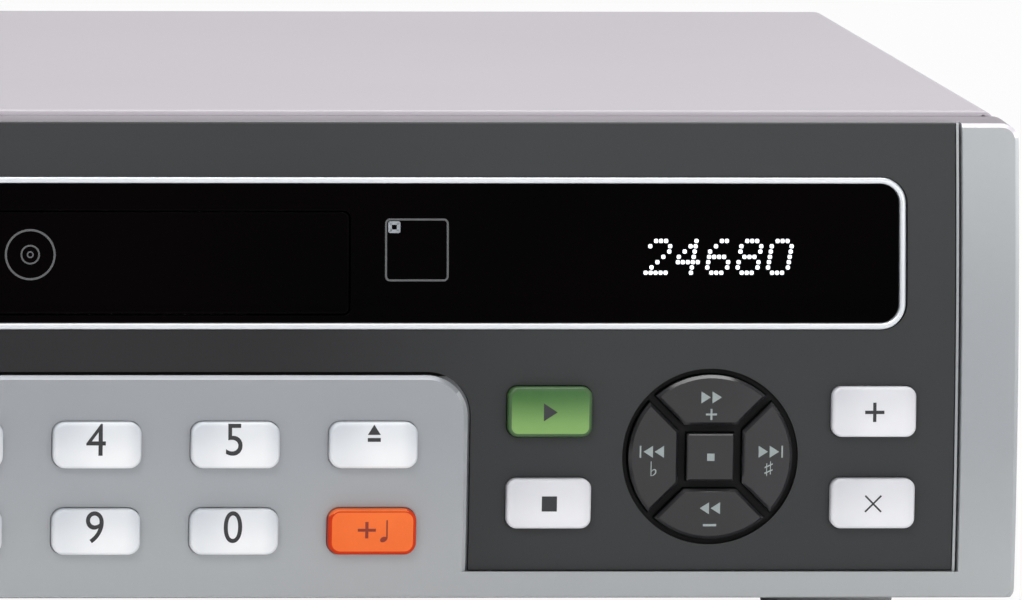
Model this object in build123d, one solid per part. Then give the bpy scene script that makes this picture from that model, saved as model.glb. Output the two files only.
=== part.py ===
from build123d import *

# Karaoke machine with a disc tray, in millimetres. Every piece is its own named STEP file.
# The front faces -Y, +X is to the right seen from the front and +Z is up. Pieces are drawn with
# Y = 0 at the middle of the bulged front and Z = 0 at the bottom edge of the front moulding.
# save() then moves them all, so that the origin lies on the ground, under the machine's middle.
import math
import os

# ---- Body
WIDTH = 430.0  # front moulding, side to side
FACE_H = 103.0  # front moulding, bottom to top
BODY_DEPTH = 300.0  # middle of the front to the outside of the rear panel
FACE_R = 380.0  # the front bulges forward with this radius, seen from the side
APEX_Z = 48.0  # height of its foremost line
TOP_R, BOTTOM_R = 4.0, 2.5  # corners of the front moulding
BEZEL_BACK = 18.6  # rear edge of the front moulding
SHEET = 1.0  # steel sheet
WALL = 2.2  # plastic wall
COVER_INSET = 3.2  # side of the cover behind the side of the front moulding
COVER_W = WIDTH - 2 * COVER_INSET
COVER_STEP = 1.2  # top of the cover above the front moulding
COVER_BEND = 3.0
FOOT_H, FOOT_R, FOOT_TAPER = 8.0, 15.0, 1.2
FOOT_INSET, FOOT_FRONT, FOOT_REAR = 30.8, 48.0, 262.0

# ---- Clearances
KEY_GAP = 0.35  # round a key or the tray door
FIT_GAP = 0.1  # between fixed pieces
SLIDE_GAP = 0.3  # between sliding faces
RUN_GAP = 0.05  # shaft in its bore, on the radius
KEY_TRAVEL = 0.8

# ---- Front plate with the window
FASCIA_HALF = 201.3
FASCIA_Z0 = 5.8
FASCIA_T = 2.5
GROOVE = 1.7  # between the plate and the cheeks
FASCIA_EDGE = 0.6
WINDOW_HALF, WINDOW_Z0, WINDOW_Z1, WINDOW_R = 190.3, 58.3, 91.0, 5.5
TRIM_W = 1.3
TRIM_STAND = 0.8
LENS_DEPTH = 0.4  # face of the lens behind the face of the plate
LENS_LIP = 1.0  # how far the moulding backs the lens
DOOR_HALF, DOOR_Z0, DOOR_Z1, DOOR_R = 69.5, 61.6, 83.4, 1.2
DOOR_T = 2.6

# ---- Keys
PAD_HALF, PAD_TOP, PAD_R = 95.4, 48.4, 9.0
PAD_STAND, PAD_SKIN, PAD_EDGE = 1.5, 1.0, 0.8
NUMBER_W, NUMBER_H, NUMBER_R = 19.1, 10.0, 2.6
NUMBER_PITCH_X = 29.9
NUMBER_Z = (33.5, 14.7)
NUMBER_STAND = 2.4
FUNCTION_W, FUNCTION_H, FUNCTION_R = 18.3, 10.9, 2.2
FUNCTION_Z = (40.6, 20.7)
FUNCTION_STAND = 2.6
START_X, RESERVE_X, POWER_X = 113.1, 183.5, -184.5
NAV_X, NAV_Z, NAV_R = 148.2, 30.7, 19.1
NAV_GROOVE = 1.5  # round the outside of the arc keys
NAV_CUT = 2.2  # between the arc keys and round the middle key
NAV_FLOOR = 0.8  # left of the plate under the round recess
NAV_STAND = 1.3
ENTER_W = 10.6
FLANGE_T, FLANGE_OUT = 1.0, 1.2
STEM_W = 4.0
BOARD_Y, BOARD_T, BOARD_TOP = 12.4, 1.6, 54.0
BOARD_MARGIN, KEY_BOARD_Z0, MIC_BOARD_Z0 = 14.0, 4.0, 27.0
DISPLAY_X = (112.0, 188.0)
GLASS_EDGE_X, GLASS_EDGE_Z = 10.0, 4.5  # glass inside the display board and the window
SWITCH_W, SWITCH_H = 6.0, 3.0

# ---- Microphone corner
KNOB_X, KNOB_Z = (-160.0, -136.0, -112.0), 38.0
KNOB_R, KNOB_REACH, KNOB_GAP = 7.5, 11.5, 0.6
KNOB_TAPER, KNOB_SKIRT, POINTER_W = 1.6, 2.0, 0.9
POT_W, POT_SHAFT_R = 11.0, 3.0
JACK_X, JACK_Z = (-136.0, -112.0), 16.5
JACK_BORE_R, JACK_BUSH_R, JACK_NUT_R, JACK_NUT_T = 3.25, 4.9, 7.0, 2.4
JACK_BODY, JACK_LENGTH, JACK_LIP = 14.0, 30.0, 0.6

# ---- Rear
REAR_GAP = 1.8  # beside the rear panel, inside the cover
RCA_COUNT, RCA_PITCH, RCA_Z = 3, 20.0, 30.0
RCA_R, RCA_BORE_R, RCA_SIDES, JACK_REACH = 4.15, 3.6, 12, 8.0
RCA_SHOULDER = 0.5  # between the rear panel and the full width of the shells
RCA_BLOCK_W, RCA_BLOCK_T, RCA_BLOCK_TOP = 56.0, 14.0, 40.0
INLET_Z, INLET_W, INLET_H = 34.0, 30.0, 22.0
INLET_FLANGE, INLET_DEPTH, INLET_RIM, INLET_R = 2.0, 18.0, 2.0, 3.0
INLET_LEDGE = 3.0  # how far the flange overlaps the panel all round
PIN_X, PIN_R, PIN_LENGTH = 4.3, 1.2, 11.0
VENT_W, VENT_H, VENT_PITCH, VENT_COUNT, VENT_Y, VENT_Z = 3.0, 36.0, 8.0, 9, 170.0, 62.0
FLOOR_VENT_L, FLOOR_VENT_COUNT = 40.0, 5

# ---- Disc tray and its drive
DISC_Y = 72.0  # middle of the disc, tray shut
DISC_R, SMALL_DISC_R = 60.4, 40.6
TRAY_HALF, TRAY_Y0, TRAY_Y1 = 66.0, 5.5, 182.0
TRAY_Z0, TRAY_Z1 = 70.0, 76.0
DISC_DROP, SMALL_DROP = 2.5, 3.7
TRAY_SLOT_HALF = 21.0
RAIL_OUT, RAIL_T = 4.5, 2.0  # the tray's side runners
TRAY_TRAVEL = 132.0
BEHIND_LENS = 6.0  # where the runners stop when the tray is out
MODULE, TRAY_TEETH, PINION_TEETH = 1.25, 18, 15
BACKLASH = 0.3
PRESSURE = math.radians(20)
RACK_X, RACK_H, RACK_BACK = 50.0, 5.0, 3.0
GEAR_Y = 36.0
GEAR_Z0, PINION_Z1, PIN_ABOVE = 58.0, 63.0, 4.0
SHAFT_R = 1.5
PULLEY_R, MOTOR_PULLEY_R, MOTOR_X = 9.6, 3.0, -20.0
LOAD_MOTOR_R, MOTOR_SHAFT_R, MOTOR_GRIP = 10.0, 1.0, 8.0
PULLEY_Z0, PULLEY_Z1 = 53.0, 57.2
BELT_T, BELT_H = 1.2, 1.6

# ---- Loader
LOADER_HALF, LOADER_Y0, LOADER_Y1 = 75.0, 24.0, 206.0
LOADER_Z0, LOADER_Z1 = 48.0, 86.0
LOADER_WALL, LOADER_FLOOR = 3.0, 2.5
HATCH_HALF, HATCH_Y0, HATCH_Y1 = 37.0, 51.5, 195.0
POST_W = 8.0
BRIDGE_HALF_Y, BRIDGE_T, BRIDGE_HOLE_R, BRIDGE_EYE = 15.0, 1.2, 12.0, 8.0
PUCK_R, PUCK_RIM_R, PUCK_T, PUCK_Z0 = 11.5, 15.0, 2.0, 76.6

# ---- Lifting deck with the spindle and the pickup
DECK_HALF, DECK_Y0, DECK_Y1 = 34.0, 53.0, 181.0
FRAME_Z0, FRAME_Z1, FRAME_BAR = 53.0, 56.0, 7.0
PIVOT_Y, PIVOT_Z, PIVOT_R, EAR_T = 177.0, 54.5, 2.0, 4.0
LIFT_DEG = 3.0
LIFT_PIN_R, LIFT_PIN_Z = 1.5, 61.0
CAM_T, CAM_Y0, CAM_TRAVEL, CAM_GAP = 2.0, 47.6, 16.0, 0.2
CAM_X0, CAM_X1, CAM_TOP = -8.0, 24.0, 65.5
DECK_Z, DECK_T = 58.0, 1.2
DAMPER_R, DAMPER_X, DAMPER_Y = 3.5, 29.5, (60.0, 170.0)
MOTOR_R, MOTOR_TOP = 12.5, 69.2
TABLE_R, TABLE_Z0, TABLE_TOP = 14.5, 72.0, 75.0
CONE_R, CONE_H, CONE_TAPER = 7.4, 2.0, 1.2
ROD_X, ROD_R, ROD_Z, ROD_Y0, ROD_Y1 = 18.0, 1.5, 63.0, 84.5, 160.0
PICKUP_Y, PICKUP_HALF, PICKUP_W, PICKUP_TOP = 96.0, 11.0, 21.5, 68.0
PICKUP_TRAVEL = 35.0
FEED_MODULE, FEED_TEETH, FEED_RACK_X, FEED_T = 0.8, 18, 24.0, 3.0

# ---- Boards
STAND_OFF_H, STAND_OFF_W = 6.0, 5.0
MAIN_W, MAIN_Y0, MAIN_INSET = 102.0, 96.0, 10.8
POWER_BOARD_W, POWER_BOARD_Y0, POWER_BOARD_INSET = 102.0, 150.0, 8.8
SCREW_R, SCREW_HEAD_R, SCREW_HEAD_T, SCREW_LENGTH = 1.4, 3.0, 1.8, 6.0
SCREW_Z = 10.0
REAR_SCREW_INSET = 20.8
CHIPS = ((32, 74, 28, 28, 2.4), (67, 44, 16, 22, 1.6), (72, 94, 14, 20, 1.6), (2, 84, 6, 40, 8))
MAIN_CANS, MAIN_CAN_R, MAIN_CAN_H = ((88, 129), (88, 149)), 5.0, 12.0
POWER_CAN_X, POWER_CAN_Y, POWER_CAN_R, POWER_CAN_H = 16.0, (60.0, 82.0), 8.0, 26.0
TRANSFORMER_X, TRANSFORMER_Y, CORE_W, CORE_D, CORE_H, WINDING = 51.0, 60.0, 38.0, 16.0, 30.0, 30.0
SINK_X, SINK_Y, SINK_W, SINK_T, FIN_COUNT, FIN_PITCH, FIN_REACH = 30.0, 20.0, 42.0, 3.0, 6, 8.0, 12.0
FLATS, FINE_FLATS = 8, 24  # sides of a small round and of a turned piece
CORNER_STEPS = 3  # flats in the round corner of a key

# ---- Worked out from the values above
COVER_TOP = FACE_H + COVER_STEP
COVER_IN = COVER_W / 2 - SHEET
REAR_IN = BODY_DEPTH - SHEET
REAR_HALF = COVER_IN - REAR_GAP
FOOT_X = COVER_IN - FOOT_INSET
REAR_SCREW_X = (REAR_SCREW_INSET - COVER_IN, 0.0, COVER_IN - REAR_SCREW_INSET)
MAIN_X1 = COVER_IN - MAIN_INSET
MAIN_X0 = MAIN_X1 - MAIN_W
POWER_BOARD_X0 = POWER_BOARD_INSET - COVER_IN
POWER_BOARD_X1 = POWER_BOARD_X0 + POWER_BOARD_W
RCA_X = [(MAIN_X0 + MAIN_X1) / 2 - 4 + RCA_PITCH * (number - 1) for number in range(RCA_COUNT)]
INLET_X = (POWER_BOARD_X0 + POWER_BOARD_X1) / 2 - 14
FLOOR_Z = SHEET
BOARD_Z = FLOOR_Z + STAND_OFF_H
WALL_BACK = FASCIA_T + WALL
GEAR_R = MODULE * TRAY_TEETH / 2
PINION_R = MODULE * PINION_TEETH / 2
GEAR_X = RACK_X - GEAR_R
PULLEY_X = GEAR_X - GEAR_R - PINION_R
FEED_R = FEED_MODULE * FEED_TEETH / 2
FEED_X = FEED_RACK_X + FEED_R
FEED_Y = PICKUP_Y + PICKUP_TRAVEL / 2
FRONT_Y = (KNOB_REACH - BODY_DEPTH - JACK_REACH) / 2  # where Y = 0 of the drawing ends up
INLET_IN_W, INLET_IN_H = INLET_W - 2 * INLET_LEDGE, INLET_H - 2 * INLET_LEDGE
NAV_STEM = (ENTER_W / 2 + NAV_CUT + NAV_R - NAV_GROOVE) / 2
SWITCH_Y = BOARD_Y - SWITCH_H
LOADER_FEET = [(x, y) for x in (-68.0, 68.0) for y in (LOADER_Y0 + 12, LOADER_Y1 - 10)]
MAIN_FEET = [(x, y) for x in (MAIN_X0 + 5, MAIN_X1 - 5) for y in (MAIN_Y0 + 5, REAR_IN - 9)]
POWER_FEET = [
    (x, y)
    for x in (POWER_BOARD_X0 + 5, POWER_BOARD_X1 - 5)
    for y in (POWER_BOARD_Y0 + 5, REAR_IN - 9)
]
FAR = 2 * WIDTH  # longer than anything it cuts


def save(name, shape):
    """Write one piece, moved to where it sits in the machine's own frame."""
    export_step(Pos(0, FRONT_Y, FOOT_H) * shape, f"parts/{name}.step")


# ---- Ways of shaping


def along_x(sketch, x0, x1):
    return extrude(Plane.YZ.offset(x0) * sketch, amount=x1 - x0)


def along_y(sketch, y0, y1):
    return extrude(Plane.XZ.offset(-y1) * sketch, amount=y1 - y0)


def along_z(sketch, z0, z1):
    return extrude(Plane.XY.offset(z0) * sketch, amount=z1 - z0)


def block(x0, x1, y0, y1, z0, z1):
    return Pos((x0 + x1) / 2, (y0 + y1) / 2, (z0 + z1) / 2) * Box(x1 - x0, y1 - y0, z1 - z0)


def rod_y(x, z, radius, y0, y1):
    return along_y(Pos(x, z) * Circle(radius), y0, y1)


def rod_z(x, y, radius, z0, z1):
    return along_z(Pos(x, y) * Circle(radius), z0, z1)


def sag(z):
    """How far the bulged face lies behind its foremost line at height z."""
    return FACE_R - math.sqrt(FACE_R**2 - (z - APEX_Z) ** 2)


def deepest(z, half):
    """The largest sag between z - half and z + half."""
    return max(sag(z - half), sag(z + half))


def behind_face(depth, back):
    """Everything between a surface that follows the front, depth behind it, and a flat back."""
    reach = FACE_R / 4
    bounds = Pos((back - reach) / 2, APEX_Z) * Rectangle(back + reach, 2 * FACE_H)
    return along_x((Pos(FACE_R, APEX_Z) * Circle(FACE_R - depth)) & bounds, -WIDTH, WIDTH)


def on_face(outline, front, back):
    """A layer of the bulged front inside an outline, from one depth to another."""
    middle = Pos(FACE_R, APEX_Z)
    bounds = Pos(0, APEX_Z) * Rectangle(FACE_R / 4, 2 * FACE_H)
    ring = (middle * Circle(FACE_R - front) - middle * Circle(FACE_R - back)) & bounds
    return along_x(ring, -WIDTH, WIDTH) & along_y(outline, -FACE_R / 8, FACE_R / 8)


def coarse_peg(radius, sides=FLATS):
    """Small round with flat sides, no wider than this radius."""
    return RegularPolygon(radius, sides)


def turned(profile, x=0.0, y=0.0):
    """Turned piece in few faces: frusta with FINE_FLATS sides between (radius, height) pairs."""
    body = Part()
    for (lower, z0), (upper, z1) in zip(profile, profile[1:]):
        if z1 > z0:
            sketch = Plane.XY.offset(z0) * RegularPolygon(lower, FINE_FLATS)
            slope = (lower - upper) * math.cos(math.pi / FINE_FLATS) / (z1 - z0)
            body += extrude(sketch, amount=z1 - z0, taper=math.degrees(math.atan(slope)))
    return Pos(x, y, 0) * body


def coarse_hole(radius, sides=FLATS):
    """Small hole with flat sides that clears a round of this radius."""
    return RegularPolygon(radius, sides, major_radius=False)


def rounded(x, z, width, height, radius):
    return Pos(x, z) * RectangleRounded(width, height, radius)


def span(half, z0, z1, radius, grow=0.0):
    """Rounded rectangle across the middle of the front."""
    height = z1 - z0 + 2 * grow
    return rounded(0, (z0 + z1) / 2, 2 * (half + grow), height, radius + grow)


def softened(body, size):
    """Bevel round the front face of a piece."""
    return chamfer(body.faces().sort_by(Axis.Y)[0].edges(), size)


def gear(teeth, module, middle, z0, z1, bore, first=0.0):
    """Spur gear with involute flanks. first turns its first tooth from +X, in degrees."""
    pitch_r = teeth * module / 2
    base_r = pitch_r * math.cos(PRESSURE)
    root_r, tip_r = pitch_r - 1.25 * module, pitch_r + module
    half = math.pi / (2 * teeth) - BACKLASH / 4 / pitch_r

    def half_angle(radius):
        slope = math.acos(min(1.0, base_r / radius))
        return half + (math.tan(PRESSURE) - PRESSURE) - (math.tan(slope) - slope)

    flank = [(radius, half_angle(radius)) for radius in (root_r, pitch_r, tip_r)]
    points = []
    for tooth in range(teeth):
        axis = math.radians(first) + 2 * math.pi * tooth / teeth
        for side, steps in ((-1, flank), (1, flank[::-1])):
            for radius, angle in steps:
                turned = axis + side * angle
                points.append((radius * math.cos(turned), radius * math.sin(turned)))
    face = make_face(Polyline(points, close=True)) - Circle(bore)
    return along_z(Pos(*middle) * face, z0, z1)


def rack(pitch_x, side, module, y_gap, y0, y1, back, z0, z1):
    """Straight rack along Y with teeth towards side (1 or -1), a gap between them at y_gap."""
    pitch = math.pi * module
    half = pitch / 4 - BACKLASH / 4
    root, tip = 1.25 * module, module
    slope = math.tan(PRESSURE)
    first = math.ceil((y0 - y_gap) / pitch) + 0.5
    points = [(-root - back, y0), (-root, y0)]
    middle = y_gap + first * pitch
    while middle + pitch / 2 < y1:
        points += [(-root, middle - half - root * slope), (tip, middle - half + tip * slope)]
        points += [(tip, middle + half - tip * slope), (-root, middle + half + root * slope)]
        middle += pitch
    points += [(-root, y1), (-root - back, y1)]
    outline = [(pitch_x + side * height, y) for height, y in points]
    return along_z(make_face(Polyline(outline, close=True)), z0, z1)


def screw(place, direction):
    """Pan-head screw with its head's underside at place, pointing along direction."""
    shank = extrude(coarse_peg(SCREW_R), amount=SCREW_LENGTH)
    head = extrude(coarse_peg(SCREW_HEAD_R), amount=-SCREW_HEAD_T)
    return Plane(origin=place, z_dir=direction) * (shank + head)


# ---- Keys


def hole_for(outline, grow):
    """Hole round a key: its outline with bevelled instead of round corners."""
    box = outline(grow).bounding_box()
    corner = (NUMBER_R + grow) * 0.6
    hole = Rectangle(box.size.X, box.size.Y)
    return Pos(box.center().X, box.center().Y) * chamfer(hole.vertices(), corner)


def key_cap(x, z, width, height, radius):
    """Rectangle whose round corners have CORNER_STEPS flats each."""
    points = []
    for corner in range(4):
        side_x, side_z = (1, -1, -1, 1)[corner], (1, 1, -1, -1)[corner]
        for step in range(CORNER_STEPS + 1):
            angle = math.radians(90) * (corner + step / CORNER_STEPS)
            across = side_x * (width / 2 - radius) + radius * math.cos(angle)
            points.append((x + across, z + side_z * (height / 2 - radius) + radius * math.sin(angle)))
    return make_face(Polyline(points, close=True))


def number_outline(x, z):
    return lambda grow: key_cap(x, z, NUMBER_W + 2 * grow, NUMBER_H + 2 * grow, NUMBER_R + grow)


def function_outline(x, z):
    return lambda grow: key_cap(
        x, z, FUNCTION_W + 2 * grow, FUNCTION_H + 2 * grow, FUNCTION_R + grow
    )


def enter_outline(grow):
    return Pos(NAV_X, NAV_Z) * Rectangle(ENTER_W + 2 * grow, ENTER_W + 2 * grow)


def arc_outline(side_x, side_z):
    """One of the four keys between the round recess and the square middle key."""

    def outline(grow):
        inner = ENTER_W + 2 * NAV_CUT - 2 * grow
        ring = RegularPolygon(NAV_R - NAV_GROOVE + grow, 2 * FINE_FLATS) - Rectangle(inner, inner)
        cut = Rectangle(4 * NAV_R, NAV_CUT - 2 * grow)
        ring -= Rot(0, 0, 45) * cut
        ring -= Rot(0, 0, -45) * cut
        half_plane = Pos(side_x * NAV_R, side_z * NAV_R) * Rectangle(
            2 * NAV_R if side_x else 4 * NAV_R, 2 * NAV_R if side_z else 4 * NAV_R
        )
        pieces = (ring & half_plane).faces()
        middle = Vector(side_x * NAV_R / 1.5, side_z * NAV_R / 1.5)
        nearest = sorted(pieces, key=lambda face: (face.center() - middle).length)[0]
        return Pos(NAV_X, NAV_Z) * Sketch([nearest])

    return outline


# name, middle of its stem, outline, how far it stands out, depth of the plate it rests behind,
# width of its collar
KEYS = []
for row, (z, digits) in enumerate(zip(NUMBER_Z, ("12345", "67890"))):
    for column in range(6):
        x = (column - 2.5) * NUMBER_PITCH_X
        last = ("eject_key", "new_song_key")[row]
        name = f"number_key_{digits[column]}" if column < 5 else last
        key = (name, (x, z), number_outline(x, z), NUMBER_STAND + PAD_STAND, PAD_SKIN, FLANGE_OUT)
        KEYS.append(key)
for name, x, z in (
    ("start_key", START_X, FUNCTION_Z[0]),
    ("stop_key", START_X, FUNCTION_Z[1]),
    ("reserve_key", RESERVE_X, FUNCTION_Z[0]),
    ("cancel_key", RESERVE_X, FUNCTION_Z[1]),
    ("power_key", POWER_X, FUNCTION_Z[0]),
):
    KEYS.append((name, (x, z), function_outline(x, z), FUNCTION_STAND, FASCIA_T, FLANGE_OUT))
for name, side_x, side_z in (
    ("arc_key_up", 0, 1),
    ("arc_key_down", 0, -1),
    ("arc_key_left", -1, 0),
    ("arc_key_right", 1, 0),
):
    stem = (NAV_X + side_x * NAV_STEM, NAV_Z + side_z * NAV_STEM)
    KEYS.append((name, stem, arc_outline(side_x, side_z), NAV_STAND, FASCIA_T, KEY_GAP * 2))
KEYS.append(("enter_key", (NAV_X, NAV_Z), enter_outline, NAV_STAND, FASCIA_T, KEY_GAP * 2))
PAD_KEYS, NAV_KEYS = KEYS[:12], KEYS[17:]
PLATE_KEYS = KEYS[12:17]


def make_key(stem, outline, stand, plate_back, collar):
    """Cap through its hole, a collar behind the plate and a stem that ends before the switch.

    The front of the cap is flat and leans with the bulge behind it."""
    x, z = stem
    bounds = outline(collar).bounding_box()
    seat = plate_back + FIT_GAP + max(sag(bounds.min.Y), sag(bounds.max.Y))
    lean = math.degrees(math.asin((z - APEX_Z) / FACE_R))
    ahead = Pos(0, sag(z) - stand, z) * Rot(-lean, 0, 0) * Pos(0, -FACE_H, 0)
    cap = along_y(outline(0), -FACE_H, seat) - ahead * Box(FAR, 2 * FACE_H, FAR)
    if collar == FLANGE_OUT:
        width, height = bounds.size.X, bounds.size.Y
        flange = along_y(Pos(x, z) * Rectangle(width, height), seat, seat + FLANGE_T)
    else:
        flange = along_y(outline(collar), seat, seat + FLANGE_T)
    stem_end = SWITCH_Y - KEY_TRAVEL - FIT_GAP
    post = along_y(Pos(x, z) * Rectangle(STEM_W, STEM_W), seat + FLANGE_T / 2, stem_end)
    return cap + flange + post


# ---- Front


def moulding_outline():
    """Front moulding seen from the front, with rounder corners at the top than at the bottom."""
    upper = RectangleRounded(WIDTH, FACE_H, TOP_R) & (Pos(0, FACE_H / 2) * Rectangle(FAR, FACE_H))
    lower = RectangleRounded(WIDTH, FACE_H, BOTTOM_R) - (Pos(0, FACE_H / 2) * Rectangle(FAR, FACE_H))
    return Pos(0, FACE_H / 2) * (upper + lower)


def pad_outline(grow=0.0):
    """Raised silver keypad: round at its top corners, square where it meets the bottom strip."""
    full = span(PAD_HALF, -PAD_TOP, PAD_TOP, PAD_R, grow)
    return full & (Pos(0, PAD_TOP / 2 + 2 * PAD_R) * Rectangle(FAR, PAD_TOP + 4 * PAD_R))


# Where the boards are held: keypad board, microphone board and display board
BOSSES = [(-85.0, 24.1), (0.0, 24.1), (85.0, 24.1), (130.0, 8.5), (166.0, 8.5), (196.0, 30.7)]
BOSSES += [(-196.0, 50.0), (-101.0, 50.0), (118.0, 57.2), (182.0, 57.2), (118.0, 95.0), (182.0, 95.0)]


def front_bezel():
    body = along_y(moulding_outline(), -FACE_R / 8, BEZEL_BACK) & behind_face(0, BEZEL_BACK)
    recess_half = FASCIA_HALF + GROOVE
    recess = Pos(0, FASCIA_Z0 - FIT_GAP + FACE_H / 2) * Rectangle(2 * recess_half, FACE_H)
    body -= on_face(recess, -FASCIA_T, FASCIA_T)
    body += softened(on_face(pad_outline(), -PAD_STAND, WALL_BACK), PAD_EDGE)
    inside = Pos(0, FACE_H / 2) * Rectangle(WIDTH - 2 * WALL, FACE_H - 2 * WALL)
    body -= along_y(inside, -FAR, FAR) & behind_face(WALL_BACK, FAR)
    pad_inside = Rectangle(2 * (PAD_HALF - WALL), 2 * (PAD_TOP - WALL))
    pad_inside = chamfer(pad_inside.vertices(), PAD_R / 2)
    pad_inside &= Pos(0, FACE_H / 2 + WALL) * Rectangle(FAR, FACE_H)
    body -= on_face(pad_inside, PAD_SKIN, WALL_BACK + WALL)
    for _, _, outline, *_ in PAD_KEYS:
        body -= on_face(hole_for(outline, KEY_GAP), -2 * PAD_STAND, WALL_BACK)
    width, height = FUNCTION_W + 2 * FLANGE_OUT + 2 * KEY_GAP, FUNCTION_H + 2 * FLANGE_OUT + 2 * KEY_GAP
    holes = [Pos(x, z) * Rectangle(width, height) for _, (x, z), *_ in PLATE_KEYS]
    holes.append(Pos(NAV_X, NAV_Z) * Rectangle(2 * NAV_R, 2 * NAV_R))
    lens = Rectangle(2 * WINDOW_HALF, WINDOW_Z1 - WINDOW_Z0)
    lens = offset(lens, -TRIM_W - LENS_LIP)
    holes.append(Pos(0, (WINDOW_Z0 + WINDOW_Z1) / 2) * chamfer(lens.vertices(), WINDOW_R / 2))
    holes += [Pos(x, KNOB_Z) * coarse_hole(POT_SHAFT_R + SLIDE_GAP) for x in KNOB_X]
    holes += [Pos(x, JACK_Z) * coarse_hole(JACK_BUSH_R + FIT_GAP) for x in JACK_X]
    for hole in holes:
        body -= on_face(hole, FASCIA_T - FIT_GAP, WALL_BACK + WALL)
    for x, z in BOSSES:
        start = sag(z) + (PAD_SKIN if abs(x) < PAD_HALF else WALL_BACK) - SHEET / 2
        body += along_y(Pos(x, z) * Rectangle(STAND_OFF_W, STAND_OFF_W), start, BOARD_Y)
    lip_half, lip_top = COVER_IN - SLIDE_GAP, COVER_TOP - SHEET - SLIDE_GAP
    lip = Rectangle(2 * lip_half, lip_top)
    lip = chamfer(lip.vertices(), COVER_BEND / 2) - Rectangle(2 * (lip_half - WALL), lip_top - 2 * WALL)
    lip = Pos(0, lip_top / 2) * lip & (Pos(0, lip_top) * Rectangle(FAR, lip_top * 1.4))
    return body + along_y(lip, BEZEL_BACK - WALL, BEZEL_BACK + 2 * WALL)


def fascia():
    plate = Pos(0, (FASCIA_Z0 + FACE_H) / 2) * Rectangle(2 * FASCIA_HALF, FACE_H - FASCIA_Z0)
    body = softened(on_face(plate, 0, FASCIA_T - RUN_GAP), FASCIA_EDGE)
    window = span(WINDOW_HALF, WINDOW_Z0, WINDOW_Z1, WINDOW_R, FIT_GAP)
    holes = [window, pad_outline(SLIDE_GAP)]
    holes += [hole_for(outline, KEY_GAP) for _, _, outline, *_ in PLATE_KEYS]
    holes += [outline(KEY_GAP) for _, _, outline, *_ in NAV_KEYS]
    holes += [Pos(x, KNOB_Z) * coarse_hole(POT_SHAFT_R + SLIDE_GAP) for x in KNOB_X]
    holes += [Pos(x, JACK_Z) * coarse_hole(JACK_BUSH_R + FIT_GAP) for x in JACK_X]
    body -= on_face(Pos(NAV_X, NAV_Z) * Circle(NAV_R), -FASCIA_T, FASCIA_T - NAV_FLOOR)
    for hole in holes:
        body -= on_face(hole, -FASCIA_T, 2 * FASCIA_T)
    return body


def window_trim():
    outer = span(WINDOW_HALF, WINDOW_Z0, WINDOW_Z1, WINDOW_R)
    inner = span(WINDOW_HALF, WINDOW_Z0, WINDOW_Z1, WINDOW_R, -TRIM_W)
    return on_face(outer - inner, -TRIM_STAND, FASCIA_T - RUN_GAP)


def window_lens():
    glass = span(WINDOW_HALF, WINDOW_Z0, WINDOW_Z1, WINDOW_R, -TRIM_W - FIT_GAP)
    slot = span(DOOR_HALF, DOOR_Z0, DOOR_Z1, DOOR_R, KEY_GAP)
    return on_face(glass - slot, LENS_DEPTH, FASCIA_T - RUN_GAP)


def key_board():
    """Printed circuit board with one switch under each key to its front."""
    x0, x1 = 2 - PAD_HALF, RESERVE_X + BOARD_MARGIN
    board = block(x0, x1, BOARD_Y, BOARD_Y + BOARD_T, KEY_BOARD_Z0, BOARD_TOP)
    solids = [board]
    for name, (x, z), *_ in KEYS:
        if name != "power_key":
            half = SWITCH_W / 2
            solids.append(block(x - half, x + half, SWITCH_Y, BOARD_Y, z - half, z + half))
    return Compound(children=solids)


def display_module():
    """Display board on its four bosses, with the glass that shows through the window."""
    y = BOARD_Y
    board = block(*DISPLAY_X, y, y + BOARD_T, BOARD_TOP + 1.0, FACE_H - 5.0)
    x0, x1 = DISPLAY_X[0] + GLASS_EDGE_X, DISPLAY_X[1] - GLASS_EDGE_X
    front = sag(WINDOW_Z1) + FASCIA_T + SHEET
    glass = block(x0, x1, front, y, WINDOW_Z0 + GLASS_EDGE_Z, WINDOW_Z1 - GLASS_EDGE_Z)
    return Compound(children=[board, glass])


def mic_board():
    """Board of the microphone controls: three potentiometers and the switch of the power key."""
    half = POT_W / 2
    x0, x1 = POWER_X - BOARD_MARGIN, KNOB_X[-1] + BOARD_MARGIN
    solids = [block(x0, x1, BOARD_Y, BOARD_Y + BOARD_T, MIC_BOARD_Z0, BOARD_TOP)]
    wall = deepest(KNOB_Z, half) + WALL_BACK
    for x in KNOB_X:
        pot = block(x - half, x + half, wall + FIT_GAP, BOARD_Y, KNOB_Z - half, KNOB_Z + half)
        bore = Pos(x, KNOB_Z) * coarse_hole(POT_SHAFT_R + RUN_GAP)
        pot -= along_y(bore, -FAR, BOARD_Y - SHEET)
        solids.append(pot)
    half, z = SWITCH_W / 2, FUNCTION_Z[0]
    solids.append(block(POWER_X - half, POWER_X + half, SWITCH_Y, BOARD_Y, z - half, z + half))
    return Compound(children=solids)


def knob(x):
    """Turned knob with a skirt, a pointer groove across its face and the shaft it turns."""
    skirt = KNOB_GAP - sag(KNOB_Z)
    profile = [(KNOB_R, skirt), (KNOB_R - KNOB_TAPER / 2, skirt + KNOB_SKIRT)]
    profile.append((KNOB_R - KNOB_TAPER, KNOB_REACH))
    body = Rot(90, 0, 0) * turned(profile)
    body += rod_y(0, 0, POT_SHAFT_R, -skirt - SHEET, BOARD_Y - SHEET - FIT_GAP)
    half = POINTER_W / 2
    pointer = block(-half, half, -KNOB_REACH - half, -KNOB_REACH + half, KNOB_R / 3, KNOB_R)
    return Pos(x, 0, KNOB_Z) * (body - pointer)


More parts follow.
